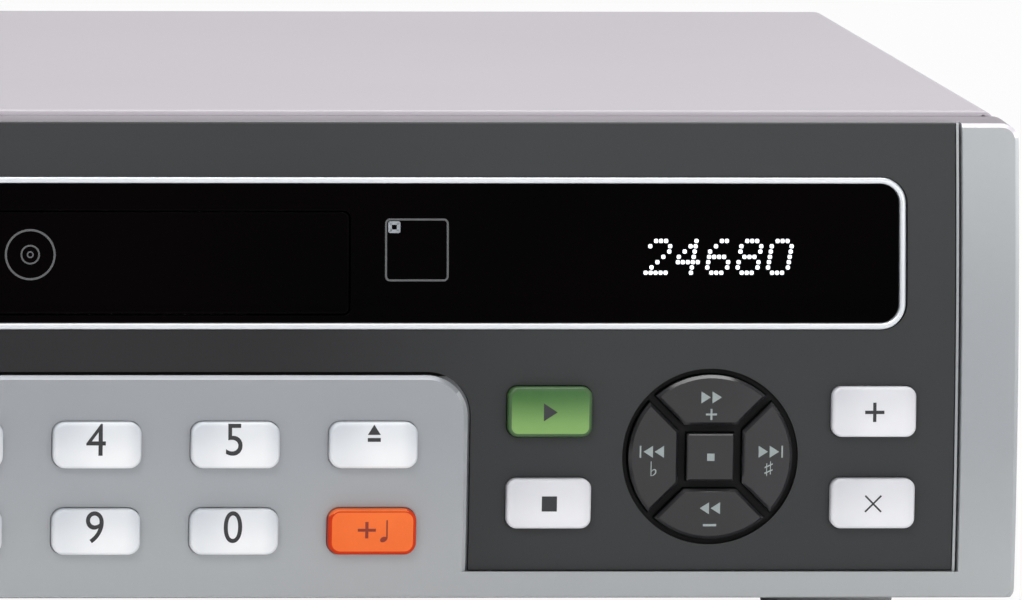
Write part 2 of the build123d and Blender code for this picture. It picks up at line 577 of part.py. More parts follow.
def mic_jacks():
    """Two panel jacks: body, threaded bush through the front and the nut that holds it."""
    half, solids = JACK_BODY / 2, []
    face = sag(JACK_Z + JACK_NUT_R)
    back = deepest(JACK_Z, half) + WALL_BACK + FIT_GAP
    for x in JACK_X:
        body = block(x - half, x + half, back, back + JACK_LENGTH, JACK_Z - half, JACK_Z + half)
        body += along_y(Pos(x, JACK_Z) * coarse_peg(JACK_BUSH_R), face - SHEET, back + SHEET)
        lip = Pos(x, JACK_Z) * RegularPolygon(JACK_BUSH_R, FINE_FLATS)
        body += along_y(lip, face - JACK_NUT_T - JACK_LIP, face - JACK_NUT_T)
        nut = Pos(x, JACK_Z) * RegularPolygon(JACK_NUT_R, 6)
        body += along_y(nut, face - JACK_NUT_T, face - FIT_GAP)
        solids.append(body - rod_y(x, JACK_Z, JACK_BORE_R, -FAR, back + JACK_LENGTH - 2 * WALL))
    return Compound(children=solids)


# ---- Case


def top_cover():
    """Folded sheet over the top and both sides, with slots in the sides."""
    y0 = BEZEL_BACK + FIT_GAP
    outer = RectangleRounded(COVER_W, 2 * COVER_TOP, COVER_BEND)
    inner = RectangleRounded(COVER_W - 2 * SHEET, 2 * (COVER_TOP - SHEET), COVER_BEND - SHEET)
    lowest = SHEET
    sheet = (outer - inner) & (Pos(0, lowest + FACE_H) * Rectangle(FAR, 2 * FACE_H))
    body = along_y(sheet, y0, BODY_DEPTH)
    for number in range(VENT_COUNT):
        slot = Pos(VENT_Y + number * VENT_PITCH, VENT_Z) * Rectangle(VENT_W, VENT_H)
        body -= along_x(slot, -FAR, FAR)
    for y in (FOOT_FRONT, FOOT_REAR):
        body -= along_x(Pos(y, SCREW_Z) * coarse_hole(SCREW_R + FIT_GAP), -FAR, FAR)
    return body


def chassis_base():
    """Folded floor with low flanges, posts for the loader, stand-offs and cooling slots."""
    half, y0, y1 = COVER_IN - FIT_GAP, BEZEL_BACK + 2 * WALL + FIT_GAP, REAR_IN - FIT_GAP
    flange = SCREW_Z + 6
    body = block(-half, half, BEZEL_BACK + FIT_GAP, y1, 0, SHEET)
    body += block(-half, -half + SHEET, y0, y1, 0, flange)
    body += block(half - SHEET, half, y0, y1, 0, flange)
    body += block(-half, half, y1 - SHEET, y1, 0, flange)
    body += block(-half, half, BEZEL_BACK + FIT_GAP, BEZEL_BACK + FIT_GAP + SHEET, 0, flange / 2)
    for x, y in LOADER_FEET:
        body += along_z(Pos(x, y) * Rectangle(POST_W, 2 * POST_W), 0, LOADER_Z0)
    for x, y in MAIN_FEET + POWER_FEET:
        body += along_z(Pos(x, y) * Rectangle(STAND_OFF_W, 2 * STAND_OFF_W), 0, BOARD_Z)
    for side in (-1, 1):
        for number in range(FLOOR_VENT_COUNT):
            y = LOADER_Y0 + 36 + number * 2 * VENT_PITCH
            x = side * FACE_H
            body -= block(x - FLOOR_VENT_L / 2, x + FLOOR_VENT_L / 2, y, y + VENT_W, -1, 2 * SHEET)
    for y in (FOOT_FRONT, FOOT_REAR):
        body -= along_x(Pos(y, SCREW_Z) * coarse_hole(SCREW_R + FIT_GAP), -FAR, FAR)
    for x in REAR_SCREW_X:
        body -= along_y(Pos(x, SCREW_Z) * coarse_hole(SCREW_R + FIT_GAP), y1 - 2 * SHEET, FAR)
    notch = RCA_BLOCK_W / 2 + SHEET
    return body - block(RCA_X[0] - notch, RCA_X[-1] + notch, y1 - 2 * SHEET, FAR, BOARD_Z, FAR)


def rear_panel():
    """Flat sheet with a flange under the cover and holes for the sockets."""
    top = COVER_TOP - SHEET - FIT_GAP
    body = block(-REAR_HALF, REAR_HALF, REAR_IN, BODY_DEPTH, SHEET, top)
    body += block(-REAR_HALF, REAR_HALF, REAR_IN - 9, BODY_DEPTH, top - SHEET, top)
    for x in RCA_X:
        hole = Pos(x, RCA_Z) * coarse_hole(RCA_R + FIT_GAP, RCA_SIDES)
        body -= along_y(hole, REAR_IN - SHEET, FAR)
    inlet = Pos(INLET_X, INLET_Z) * Rectangle(INLET_IN_W + FIT_GAP, INLET_IN_H + FIT_GAP)
    body -= along_y(inlet, REAR_IN - SHEET, FAR)
    for x in REAR_SCREW_X:
        body -= along_y(Pos(x, SCREW_Z) * coarse_hole(SCREW_R + FIT_GAP), REAR_IN - SHEET, FAR)
    return body


def screws():
    """All the pan-head screws: two in each side of the cover and three in the rear panel."""
    solids = []
    for y in (FOOT_FRONT, FOOT_REAR):
        solids.append(screw((-COVER_W / 2, y, SCREW_Z), (1, 0, 0)))
        solids.append(screw((COVER_W / 2, y, SCREW_Z), (-1, 0, 0)))
    solids += [screw((x, BODY_DEPTH, SCREW_Z), (0, -1, 0)) for x in REAR_SCREW_X]
    return Compound(children=solids)


def feet():
    """Four round feet under the floor."""
    profile = [(FOOT_R - FOOT_TAPER, -FOOT_H), (FOOT_R, 0)]
    places = [(x, y) for x in (-FOOT_X, FOOT_X) for y in (FOOT_FRONT, FOOT_REAR)]
    return Compound(children=[turned(profile, *place) for place in places])


def rca_jacks():
    """Output sockets: one block, with its outer shells through the rear panel."""
    y0, z0 = REAR_IN - RCA_BLOCK_T, BOARD_Z + BOARD_T
    x0, x1 = RCA_X[1] - RCA_BLOCK_W / 2, RCA_X[1] + RCA_BLOCK_W / 2
    body = block(x0, x1, y0, REAR_IN - FIT_GAP, z0, RCA_BLOCK_TOP)
    for x in RCA_X:
        shell_y = BODY_DEPTH + RCA_SHOULDER
        body += along_y(Pos(x, RCA_Z) * coarse_peg(RCA_R - FIT_GAP, RCA_SIDES), REAR_IN - SHEET, shell_y)
        body += rod_y(x, RCA_Z, RCA_R, shell_y, BODY_DEPTH + JACK_REACH)
        bore = Pos(x, RCA_Z) * coarse_peg(RCA_BORE_R, RCA_SIDES)
        body -= along_y(bore, BODY_DEPTH - SHEET, FAR)
    return body


def mains_inlet():
    """Two-pin socket for the mains lead, set into the rear panel."""
    front, back = BODY_DEPTH + INLET_FLANGE, BODY_DEPTH + INLET_FLANGE - INLET_DEPTH
    flange = key_cap(INLET_X, INLET_Z, INLET_W, INLET_H, INLET_R)
    body = along_y(flange, BODY_DEPTH + RUN_GAP, front)
    shell = Rectangle(INLET_IN_W - FIT_GAP, INLET_IN_H - FIT_GAP)
    body += along_y(Pos(INLET_X, INLET_Z) * shell, back, front - SHEET)
    width, height = INLET_IN_W - 2 * INLET_RIM, INLET_IN_H - 2 * INLET_RIM
    floor = back + INLET_RIM
    body -= along_y(key_cap(INLET_X, INLET_Z, width, height, INLET_R), floor, FAR)
    for side in (-1, 1):
        pin = Pos(INLET_X + side * PIN_X, INLET_Z) * coarse_peg(PIN_R)
        body += along_y(pin, floor - SHEET, floor + PIN_LENGTH)
    return body


def main_board():
    z, top = BOARD_Z, BOARD_Z + BOARD_T
    solids = [block(MAIN_X0, MAIN_X1, MAIN_Y0, REAR_IN - 3, z, top)]
    for x, y, width, depth, height in CHIPS:
        x0, y0 = MAIN_X0 + x, MAIN_Y0 + y
        solids.append(block(x0, x0 + width, y0, y0 + depth, top, top + height))
    for x, y in MAIN_CANS:
        can = Pos(MAIN_X0 + x, MAIN_Y0 + y) * coarse_peg(MAIN_CAN_R)
        solids.append(along_z(can, top, top + MAIN_CAN_H))
    return Compound(children=solids)


def power_board():
    z, top = BOARD_Z, BOARD_Z + BOARD_T
    x0, y0 = POWER_BOARD_X0, POWER_BOARD_Y0
    solids = [block(x0, POWER_BOARD_X1, y0, REAR_IN - 3, z, top)]
    x, y = x0 + TRANSFORMER_X, y0 + TRANSFORMER_Y
    across, deep = CORE_W / 2, CORE_D / 2
    core = block(x - across, x + across, y - deep, y + deep, top, top + CORE_H)
    half = WINDING / 2
    core += block(x - half, x + half, y - half, y + half, top + SINK_T, top + CORE_H - SINK_T)
    solids.append(core)
    for y in POWER_CAN_Y:
        can = Pos(x0 + POWER_CAN_X, y0 + y) * coarse_peg(POWER_CAN_R)
        solids.append(along_z(can, top, top + POWER_CAN_H))
    x, y = x0 + SINK_X, y0 + SINK_Y
    fins = block(x, x + SINK_W, y, y + SINK_T, top, top + CORE_H)
    for number in range(FIN_COUNT):
        fin_x = x + 1 + number * FIN_PITCH
        fins += block(fin_x, fin_x + SHEET, y + SINK_T, y + FIN_REACH, top, top + CORE_H)
    solids.append(fins)
    return Compound(children=solids)


# ---- Disc loader


def disc_tray():
    """Tray with two disc recesses, a slot that is open to the rear, runners and its rack."""
    body = block(-TRAY_HALF, TRAY_HALF, TRAY_Y0, TRAY_Y1, TRAY_Z0, TRAY_Z1)
    out = TRAY_HALF + RAIL_OUT
    body += block(-out, out, TRAY_TRAVEL + BEHIND_LENS, TRAY_Y1, TRAY_Z0, TRAY_Z0 + RAIL_T)
    body -= rod_z(0, DISC_Y, DISC_R, TRAY_Z1 - DISC_DROP, FAR)
    body -= rod_z(0, DISC_Y, SMALL_DISC_R, TRAY_Z1 - SMALL_DROP, FAR)
    body -= rod_z(0, DISC_Y - DISC_R, 14.0, TRAY_Z1 - SMALL_DROP, FAR)
    slot = Pos(0, DISC_Y) * Circle(TRAY_SLOT_HALF)
    slot += Pos(0, DISC_Y + TRAY_Y1 / 2) * Rectangle(2 * TRAY_SLOT_HALF, TRAY_Y1)
    body -= along_z(slot, -FAR, FAR)
    body += rack(
        RACK_X, -1, MODULE, GEAR_Y, GEAR_Y - 6, TRAY_Y1 - 5, RACK_BACK, TRAY_Z0 - RACK_H, TRAY_Z0
    )
    return body


def tray_door():
    """Curved front of the tray, flush in the window, with the bar that it is fixed by."""
    skin = on_face(span(DOOR_HALF, DOOR_Z0, DOOR_Z1, DOOR_R), LENS_DEPTH, LENS_DEPTH + DOOR_T)
    bar = block(-TRAY_HALF + 4, TRAY_HALF - 4, DOOR_T, TRAY_Y0, TRAY_Z0, TRAY_Z1)
    return softened(skin, 0.3) + bar


def loader_frame():
    """Moulded box of the loader: rails for the tray, gear posts, hatch and the deck's ears."""
    top_floor = LOADER_Z0 + LOADER_FLOOR
    body = block(-LOADER_HALF, LOADER_HALF, LOADER_Y0, LOADER_Y1, LOADER_Z0, LOADER_Z1)
    inner = LOADER_HALF - LOADER_WALL
    body -= block(-inner, inner, LOADER_Y0 - 1, LOADER_Y1 - LOADER_WALL, top_floor, FAR)
    body -= block(-HATCH_HALF, HATCH_HALF, HATCH_Y0, HATCH_Y1, -FAR, FAR)
    runner = TRAY_HALF + RAIL_OUT + SLIDE_GAP
    for side in (-1, 1):
        near, far = sorted((side * (TRAY_HALF + SLIDE_GAP * 2), side * inner))
        body += block(
            near, far, LOADER_Y0, LOADER_Y1 - LOADER_WALL, TRAY_Z0 - SLIDE_GAP - 3, TRAY_Z0 - SLIDE_GAP
        )
        for y in (LOADER_Y0 + 1, LOADER_Y0 + 66, LOADER_Y0 + 130):
            hook = block(near, far, y, y + 20, TRAY_Z0 + RAIL_T + SLIDE_GAP, TRAY_Z0 + RAIL_T + 3)
            body += hook
        gap = sorted((side * runner, side * inner))
        body += block(*gap, LOADER_Y0, LOADER_Y1 - LOADER_WALL, TRAY_Z0 - 2, TRAY_Z0 + RAIL_T + 1)
    for x in (GEAR_X, PULLEY_X):
        shaft = Pos(x, GEAR_Y) * coarse_peg(SHAFT_R, FINE_FLATS // 2)
        body += along_z(shaft, LOADER_Z0, PINION_Z1 + PIN_ABOVE)
    for x, z1 in ((GEAR_X, GEAR_Z0), (PULLEY_X, PULLEY_Z0)):
        body += along_z(Pos(x, GEAR_Y) * coarse_peg(2 * SHAFT_R), LOADER_Z0, z1 - FIT_GAP)
    body -= along_z(Pos(MOTOR_X, GEAR_Y) * coarse_hole(MOTOR_PULLEY_R), -FAR, top_floor + 1)
    for side in (-1, 1):
        ear = sorted((side * HATCH_HALF, side * (HATCH_HALF + EAR_T)))
        body += block(*ear, PIVOT_Y - 4.5, PIVOT_Y + 4.5, LOADER_Z0, PIVOT_Z + 4.5)
    body -= along_x(Pos(PIVOT_Y, PIVOT_Z) * Circle(PIVOT_R + RUN_GAP), -inner, inner)
    rib = top_floor + 1.8
    body += block(CAM_X0 - CAM_TRAVEL, CAM_X1, CAM_Y0 - 1.5, CAM_Y0 - SLIDE_GAP, LOADER_Z0, rib)
    after = CAM_Y0 + CAM_T + SLIDE_GAP
    body += block(CAM_X0 - CAM_TRAVEL, CAM_X1, after, HATCH_Y0, LOADER_Z0, rib)
    return body


def clamp_bridge():
    """Strap over the loader that holds the clamp puck above the disc."""
    y0, y1 = DISC_Y - BRIDGE_HALF_Y, DISC_Y + BRIDGE_HALF_Y
    strap = block(-LOADER_HALF, LOADER_HALF, y0, y1, LOADER_Z1, LOADER_Z1 + BRIDGE_T)
    eye = [(BRIDGE_HOLE_R + BRIDGE_EYE, LOADER_Z1), (BRIDGE_HOLE_R + BRIDGE_EYE, LOADER_Z1 + BRIDGE_T)]
    hole = Pos(0, DISC_Y) * coarse_hole(BRIDGE_HOLE_R, FINE_FLATS)
    return strap + turned(eye, 0, DISC_Y) - along_z(hole, 0, FAR)


def clamp_puck():
    """Puck that hangs in the strap, hollow below for the cone of the turntable."""
    rim = LOADER_Z1 + BRIDGE_T + FIT_GAP
    profile = [(PUCK_R, PUCK_Z0), (PUCK_R, rim), (PUCK_RIM_R, rim), (PUCK_RIM_R - 1, rim + PUCK_T)]
    hollow = [(CONE_R + 1, PUCK_Z0 - 1), (CONE_R, PUCK_Z0 + CONE_H + 1)]
    return turned(profile, 0, DISC_Y) - turned(hollow, 0, DISC_Y)


def tray_gear():
    return gear(
        TRAY_TEETH, MODULE, (GEAR_X, GEAR_Y), GEAR_Z0, TRAY_Z0 - SLIDE_GAP, SHAFT_R + RUN_GAP
    )


def pulley(x, radius, z0, z1, bore):
    """Grooved wheel for the square belt."""
    middle = (z0 + z1) / 2
    half = BELT_H / 2 + FIT_GAP
    groove = radius - BELT_T
    profile = [(radius, z0), (radius, middle - half), (groove, middle - half)]
    profile += [(groove, middle + half), (radius, middle + half), (radius, z1)]
    wheel = turned(profile, x, GEAR_Y)
    return wheel - rod_z(x, GEAR_Y, bore, z0, z1) if bore else wheel


def pulley_gear():
    """Belt wheel and pinion in one moulding."""
    bore = SHAFT_R + RUN_GAP
    middle = (PULLEY_X, GEAR_Y)
    pinion = gear(PINION_TEETH, MODULE, middle, GEAR_Z0, PINION_Z1, bore, 180 / PINION_TEETH)
    wheel = pulley(PULLEY_X, PULLEY_R + BELT_T, PULLEY_Z0, PULLEY_Z1, bore)
    hub = coarse_peg(PINION_R - 2 * MODULE) - Circle(bore)
    return wheel + pinion + along_z(Pos(*middle) * hub, PULLEY_Z1, GEAR_Z0)


def motor_pulley():
    """Small belt wheel on the motor's shaft."""
    wheel = pulley(MOTOR_X, MOTOR_PULLEY_R + BELT_T, PULLEY_Z0, PULLEY_Z1, 0.0)
    return wheel + rod_z(MOTOR_X, GEAR_Y, MOTOR_SHAFT_R, LOADER_Z0 - MOTOR_GRIP, PULLEY_Z1)


def load_belt():
    """Square belt round both wheels, lying in their grooves."""
    middle = (PULLEY_Z0 + PULLEY_Z1) / 2
    big, small = PULLEY_R + RUN_GAP, MOTOR_PULLEY_R + RUN_GAP

    def loop(extra):
        wide, narrow = big + extra, small + extra
        reach = PULLEY_X - MOTOR_X
        lean = math.asin((wide - narrow) / reach)
        sides = []
        for side in (1, -1):
            sides.append(
                [
                    (PULLEY_X - wide * math.sin(lean), GEAR_Y + side * wide * math.cos(lean)),
                    (MOTOR_X - narrow * math.sin(lean), GEAR_Y + side * narrow * math.cos(lean)),
                ]
            )
        quad = make_face(Polyline(sides[0] + sides[1][::-1], close=True))
        for x, radius in ((PULLEY_X, wide), (MOTOR_X, narrow)):
            quad += Pos(x, GEAR_Y) * coarse_hole(radius, FINE_FLATS)
        return quad

    return along_z(loop(BELT_T - FIT_GAP) - loop(0.0), middle - BELT_H / 2, middle + BELT_H / 2)


def load_motor():
    top = LOADER_Z0 - RUN_GAP
    can = turned([(LOAD_MOTOR_R, top - 2 * LOAD_MOTOR_R), (LOAD_MOTOR_R, top)], MOTOR_X, GEAR_Y)
    bore = Pos(MOTOR_X, GEAR_Y) * coarse_hole(MOTOR_SHAFT_R + RUN_GAP)
    return can - along_z(bore, top - LOAD_MOTOR_R, FAR)


# ---- Lifting deck


def lift_frame():
    """Rectangular frame on two pivot pins, with the pin that the lifting cam moves."""
    body = block(-DECK_HALF, DECK_HALF, DECK_Y0, DECK_Y1, FRAME_Z0, FRAME_Z1)
    bar = FRAME_BAR
    body -= block(
        -DECK_HALF + bar, DECK_HALF - bar, DECK_Y0 + bar, DECK_Y1 - bar, -FAR, FAR
    )
    reach = HATCH_HALF + EAR_T
    body += along_x(Pos(PIVOT_Y, PIVOT_Z) * Circle(PIVOT_R), -reach, reach) - block(
        -DECK_HALF + bar, DECK_HALF - bar, DECK_Y0, FAR, -FAR, FAR
    )
    body += block(-4, 4, DECK_Y0, DECK_Y0 + 2.5, FRAME_Z0, LIFT_PIN_Z + 3)
    pin = Pos(0, LIFT_PIN_Z) * coarse_peg(LIFT_PIN_R)
    return body + along_y(pin, CAM_Y0 - SLIDE_GAP, DECK_Y0 + SHEET)


def lift_cam():
    """Sliding plate whose slanted slot lowers the deck's pin."""
    drop = (PIVOT_Y - CAM_Y0) * math.sin(math.radians(LIFT_DEG))
    floor = LOADER_Z0 + LOADER_FLOOR + SLIDE_GAP
    x0, x1 = CAM_X0, CAM_X1
    plate = Pos((x0 + x1) / 2, (floor + CAM_TOP) / 2) * Rectangle(x1 - x0, CAM_TOP - floor)
    slope = math.degrees(math.atan2(drop, CAM_TRAVEL))
    middle = Pos(CAM_TRAVEL / 2, LIFT_PIN_Z - drop / 2)
    slot = SlotCenterToCenter(math.hypot(CAM_TRAVEL, drop), 2 * (LIFT_PIN_R + CAM_GAP))
    return along_y(plate - middle * Rot(0, 0, -slope) * slot, CAM_Y0, CAM_Y0 + CAM_T)


def deck_dampers():
    places = [Pos(x, y) for x in (-DAMPER_X, DAMPER_X) for y in DAMPER_Y]
    return Compound(children=[along_z(place * coarse_peg(DAMPER_R), FRAME_Z1, DECK_Z) for place in places])


def deck_plate():
    """Pressed plate with an opening under the pickup, rod clips and the two guide rods."""
    plate = block(-DECK_HALF, DECK_HALF, DECK_Y0 + 3, DECK_Y1 - 5, DECK_Z, DECK_Z + DECK_T)
    plate -= block(-ROD_X + 3, ROD_X - 3, ROD_Y0 + 2, ROD_Y1 - 2, 0, FAR)
    clip = 2.5
    for x in (-ROD_X, ROD_X):
        for y0, y1 in ((ROD_Y0 - 3.5, ROD_Y0), (ROD_Y1, ROD_Y1 + 3.5)):
            plate += block(x - clip, x + clip, y0, y1, DECK_Z, ROD_Z + clip)
    shaft = Pos(FEED_X, FEED_Y) * coarse_peg(SHAFT_R, FINE_FLATS // 2)
    plate += along_z(shaft, DECK_Z, DECK_Z + DECK_T + FEED_T + SHAFT_R)
    collar = Pos(FEED_X, FEED_Y) * coarse_peg(SHAFT_R + 1)
    plate += along_z(collar, DECK_Z, DECK_Z + DECK_T + 1 - FIT_GAP)
    rods = [along_y(Pos(x, ROD_Z) * coarse_peg(ROD_R, RCA_SIDES), ROD_Y0, ROD_Y1) for x in (-ROD_X, ROD_X)]
    return Compound(children=[plate] + rods)


def spindle_motor():
    can = turned([(MOTOR_R, DECK_Z + DECK_T), (MOTOR_R, MOTOR_TOP)], 0, DISC_Y)
    bore = Pos(0, DISC_Y) * coarse_hole(MOTOR_SHAFT_R + RUN_GAP)
    return can - along_z(bore, DECK_Z + 2 * DECK_T, FAR)


def turntable():
    """Disc seat with its centring cone, on the motor's shaft."""
    low, hub = DECK_Z + 3 * DECK_T, MOTOR_TOP + SLIDE_GAP
    profile = [(MOTOR_SHAFT_R, low), (MOTOR_SHAFT_R, hub), (TABLE_R / 2, hub), (TABLE_R / 2, TABLE_Z0)]
    profile += [(TABLE_R, TABLE_Z0), (TABLE_R, TABLE_TOP), (CONE_R, TABLE_TOP)]
    profile += [(CONE_R - CONE_TAPER, TABLE_TOP + CONE_H)]
    return turned(profile, 0, DISC_Y)


def pickup_unit():
    """Laser pickup that slides on the two rods, with its lens and the feed rack."""
    y0, y1 = PICKUP_Y - PICKUP_HALF, PICKUP_Y + PICKUP_HALF
    z0 = DECK_Z + DECK_T + 0.4
    body = block(-PICKUP_W, PICKUP_W, y0, y1, z0, PICKUP_TOP)
    body -= block(-PICKUP_W / 2, PICKUP_W / 2, y0 + 4, y1 - 4, PICKUP_TOP - 3, FAR)
    body += along_z(Pos(0, PICKUP_Y) * coarse_peg(4.0, RCA_SIDES), PICKUP_TOP - 4, PICKUP_TOP + 1.2)
    rack_z0 = DECK_Z + DECK_T + 1
    reach = PICKUP_TRAVEL / 2 + 3
    back = FEED_RACK_X - 1.25 * FEED_MODULE - PICKUP_W
    body += rack(
        FEED_RACK_X, 1, FEED_MODULE, FEED_Y, PICKUP_Y - reach, PICKUP_Y + reach, back,
        rack_z0, rack_z0 + FEED_T,
    )
    half = ROD_R + RUN_GAP
    body -= along_y(Pos(ROD_X, ROD_Z) * coarse_hole(half), -FAR, FAR)
    return body - block(-FAR, half - ROD_X, -FAR, FAR, ROD_Z - half, ROD_Z + half)


def feed_gear():
    z0 = DECK_Z + DECK_T + 1
    return gear(
        FEED_TEETH, FEED_MODULE, (FEED_X, FEED_Y), z0, z0 + FEED_T, SHAFT_R + RUN_GAP
    )


os.makedirs("parts", exist_ok=True)
for name, stem, outline, stand, plate_back, collar in KEYS:
    save(name, make_key(stem, outline, stand, plate_back, collar))
for number, x in enumerate(KNOB_X, 1):
    save(f"knob_{number}", knob(x))
for make in (
    front_bezel,
    fascia,
    window_trim,
    window_lens,
    key_board,
    display_module,
    mic_board,
    mic_jacks,
    top_cover,
    chassis_base,
    rear_panel,
    screws,
    feet,
    rca_jacks,
    mains_inlet,
    main_board,
    power_board,
    disc_tray,
    tray_door,
    loader_frame,
    clamp_bridge,
    clamp_puck,
    tray_gear,
    pulley_gear,
    motor_pulley,
    load_belt,
    load_motor,
    lift_frame,
    lift_cam,
    deck_dampers,
    deck_plate,
    spindle_motor,
    turntable,
    pickup_unit,
    feed_gear,
):
    save(make.__name__, make())
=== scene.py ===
# %% [markdown]
# # Karaoke machine with a disc tray
# This script dresses a finished CAD model. The CAD nodes fix the sizes and the joints, and
# every piece below is modelled over them and moves with the same bodies.
# It is read from top to bottom: tools first, then the front, the keys, the case, the rear and
# the finishes, and at the end the light and the camera.

import math

import bmesh
import bpy
from mathutils import Matrix, Vector


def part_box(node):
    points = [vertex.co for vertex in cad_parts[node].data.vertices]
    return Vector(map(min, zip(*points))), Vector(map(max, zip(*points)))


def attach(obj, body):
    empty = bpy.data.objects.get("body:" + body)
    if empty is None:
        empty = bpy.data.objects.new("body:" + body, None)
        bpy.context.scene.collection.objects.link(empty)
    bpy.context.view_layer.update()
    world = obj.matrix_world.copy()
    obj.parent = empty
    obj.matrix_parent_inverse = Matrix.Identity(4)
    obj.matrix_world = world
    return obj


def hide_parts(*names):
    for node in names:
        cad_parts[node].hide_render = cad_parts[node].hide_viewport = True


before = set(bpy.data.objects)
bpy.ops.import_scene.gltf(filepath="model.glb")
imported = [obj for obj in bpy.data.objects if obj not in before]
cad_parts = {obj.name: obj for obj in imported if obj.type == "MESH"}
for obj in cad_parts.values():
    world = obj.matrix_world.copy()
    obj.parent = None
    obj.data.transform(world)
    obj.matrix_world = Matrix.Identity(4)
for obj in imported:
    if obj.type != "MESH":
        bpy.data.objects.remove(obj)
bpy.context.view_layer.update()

# %% [markdown]
# ## Millimetres of the drawing
# The machine was drawn in millimetres with the foremost line of its bulged front at y = 0 and
# the bottom of the front moulding at z = 0. Blender works in metres with the object centred on
# the floor. Two small functions translate, so that every later number is one of the drawing's.

# %% Drawing to scene and back
MM = 0.001
FRONT_Y, FLOOR_Z = -148.25, 8.0


def at(x, y, z):
    return Vector((x, y + FRONT_Y, z + FLOOR_Z)) * MM


def drawn(co):
    return co.x / MM, co.y / MM - FRONT_Y, co.z / MM - FLOOR_Z


print("foremost line of the front at", tuple(round(v, 4) for v in at(0, 0, 48)))

# %% [markdown]
# ## Working with one piece at a time
# Operators act on everything that is selected, so each step first drops the selection and then
# picks one piece. `slab` adds a cube at its size and place: it is only the start of a piece,
# and edges are then chosen by where they lie and rounded. If nothing lies where it is looked
# for, `choose` stops the script: an edge that was missed would otherwise stay sharp unnoticed.

# %% Slabs and chosen edges


def drop_selection():
    if bpy.context.object and bpy.context.object.mode != "OBJECT":
        bpy.ops.object.mode_set(mode="OBJECT")
    bpy.ops.object.select_all(action="DESELECT")


def pick(piece):
    drop_selection()
    piece.select_set(True)
    bpy.context.view_layer.objects.active = piece


def settle(name):
    """Names the object that was just added and puts its place into its mesh."""
    piece = bpy.context.object
    bpy.ops.object.transform_apply(location=True, rotation=True, scale=True)
    piece.name = piece.data.name = name
    return piece


def slab(name, x0, x1, y0, y1, z0, z1):
    drop_selection()
    middle = at((x0 + x1) / 2, (y0 + y1) / 2, (z0 + z1) / 2)
    size = ((x1 - x0) * MM, (y1 - y0) * MM, (z1 - z0) * MM)
    bpy.ops.mesh.primitive_cube_add(size=1, location=middle, scale=size)
    return settle(name)


def choose(piece, wanted, kind="EDGE"):
    """Edit mode, with only those edges or faces selected for whose points `wanted` is true."""
    pick(piece)
    bpy.ops.object.mode_set(mode="EDIT")
    bpy.ops.mesh.select_mode(type=kind)
    bpy.ops.mesh.select_all(action="DESELECT")
    mesh = bmesh.from_edit_mesh(piece.data)
    parts = mesh.edges if kind == "EDGE" else mesh.faces
    found = [part for part in parts if wanted([drawn(v.co) for v in part.verts])]
    if not found:
        raise ValueError(f"nothing to choose on {piece.name}")
    for part in found:
        part.select_set(True)
    mesh.select_flush_mode()
    bmesh.update_edit_mesh(piece.data)


def choose_all(piece):
    """Edit mode, with the whole piece selected."""
    pick(piece)
    bpy.ops.object.mode_set(mode="EDIT")
    bpy.ops.mesh.select_all(action="SELECT")


def back_to_object():
    bpy.ops.object.mode_set(mode="OBJECT")


def bevel(piece, wanted, width, segments=4):
    choose(piece, wanted)
    bpy.ops.mesh.bevel(
        offset=width * MM, segments=segments, profile=0.5, affect="EDGES", clamp_overlap=True
    )
    back_to_object()


def running_y(points, lowest=-1000.0, highest=1000.0):
    """True for an edge that runs from front to back between two heights."""
    (x0, y0, z0), (x1, y1, z1) = points
    straight = abs(x0 - x1) < 0.001 and abs(z0 - z1) < 0.001 and abs(y0 - y1) > 0.1
    return straight and lowest < z0 < highest


def at_depth(y):
    """Test for edges or faces that lie flat at one depth."""
    return lambda points: all(abs(p[1] - y) < 0.005 for p in points)


def rounded_slab(name, x0, x1, y0, y1, z0, z1, radius, segments=8):
    piece = slab(name, x0, x1, y0, y1, z0, z1)
    bevel(piece, running_y, radius, segments)
    return piece


print("tools for slabs and edges are ready")

# %% [markdown]
# ## Cutting and joining
# Openings are cut the way a moulder cores a part: a slab of the opening's shape is taken away
# with a Boolean modifier. Many cutters are joined into one first, so that one modifier does it.

# %% Cut, join and copy


def join(name, pieces):
    drop_selection()
    for piece in pieces:
        piece.select_set(True)
    bpy.context.view_layer.objects.active = pieces[0]
    if len(pieces) > 1:
        bpy.ops.object.join()
    joined = bpy.context.object
    joined.name = joined.data.name = name
    return joined


def apply_modifier(piece, kind, **settings):
    """Puts one modifier on a piece, sets it up and applies it."""
    pick(piece)
    modifier = piece.modifiers.new("shape", kind)
    for name, value in settings.items():
        setattr(modifier, name, value)
    bpy.ops.object.modifier_apply(modifier=modifier.name)


def combine(piece, other, operation="DIFFERENCE"):
    """Cuts another piece away, or melts it on with UNION. The other piece is used up."""
    apply_modifier(piece, "BOOLEAN", operation=operation, object=other, solver="EXACT")
    bpy.data.objects.remove(other)
    return piece


def copy_of(piece, name, x=0.0, y=0.0, z=0.0):
    """A copy with its own mesh, moved by millimetres."""
    twin = piece.copy()
    twin.data = piece.data.copy()
    twin.name = twin.data.name = name
    bpy.context.scene.collection.objects.link(twin)
    twin.data.transform(Matrix.Translation(Vector((x, y, z)) * MM))
    return twin


def rod(name, x, y, z, radius, length, sides=48):
    """Round bar that starts at a point and runs towards the rear."""
    drop_selection()
    bpy.ops.mesh.primitive_cylinder_add(
        vertices=sides, radius=radius * MM, depth=length * MM,
        location=at(x, y + length / 2, z), rotation=(math.pi / 2, 0, 0),
    )
    return settle(name)


print("tools for cutting are ready")

# %% [markdown]
# ## The bulge of the front
# The whole front is one shallow barrel: it leans back above and below a line 48 mm up. Every
# front piece is modelled flat, where corners and holes are easy, then sliced into level strips
# with Bisect and leaned on the barrel. Weighted normals keep the long faces calm beside their
# small rounded edges.

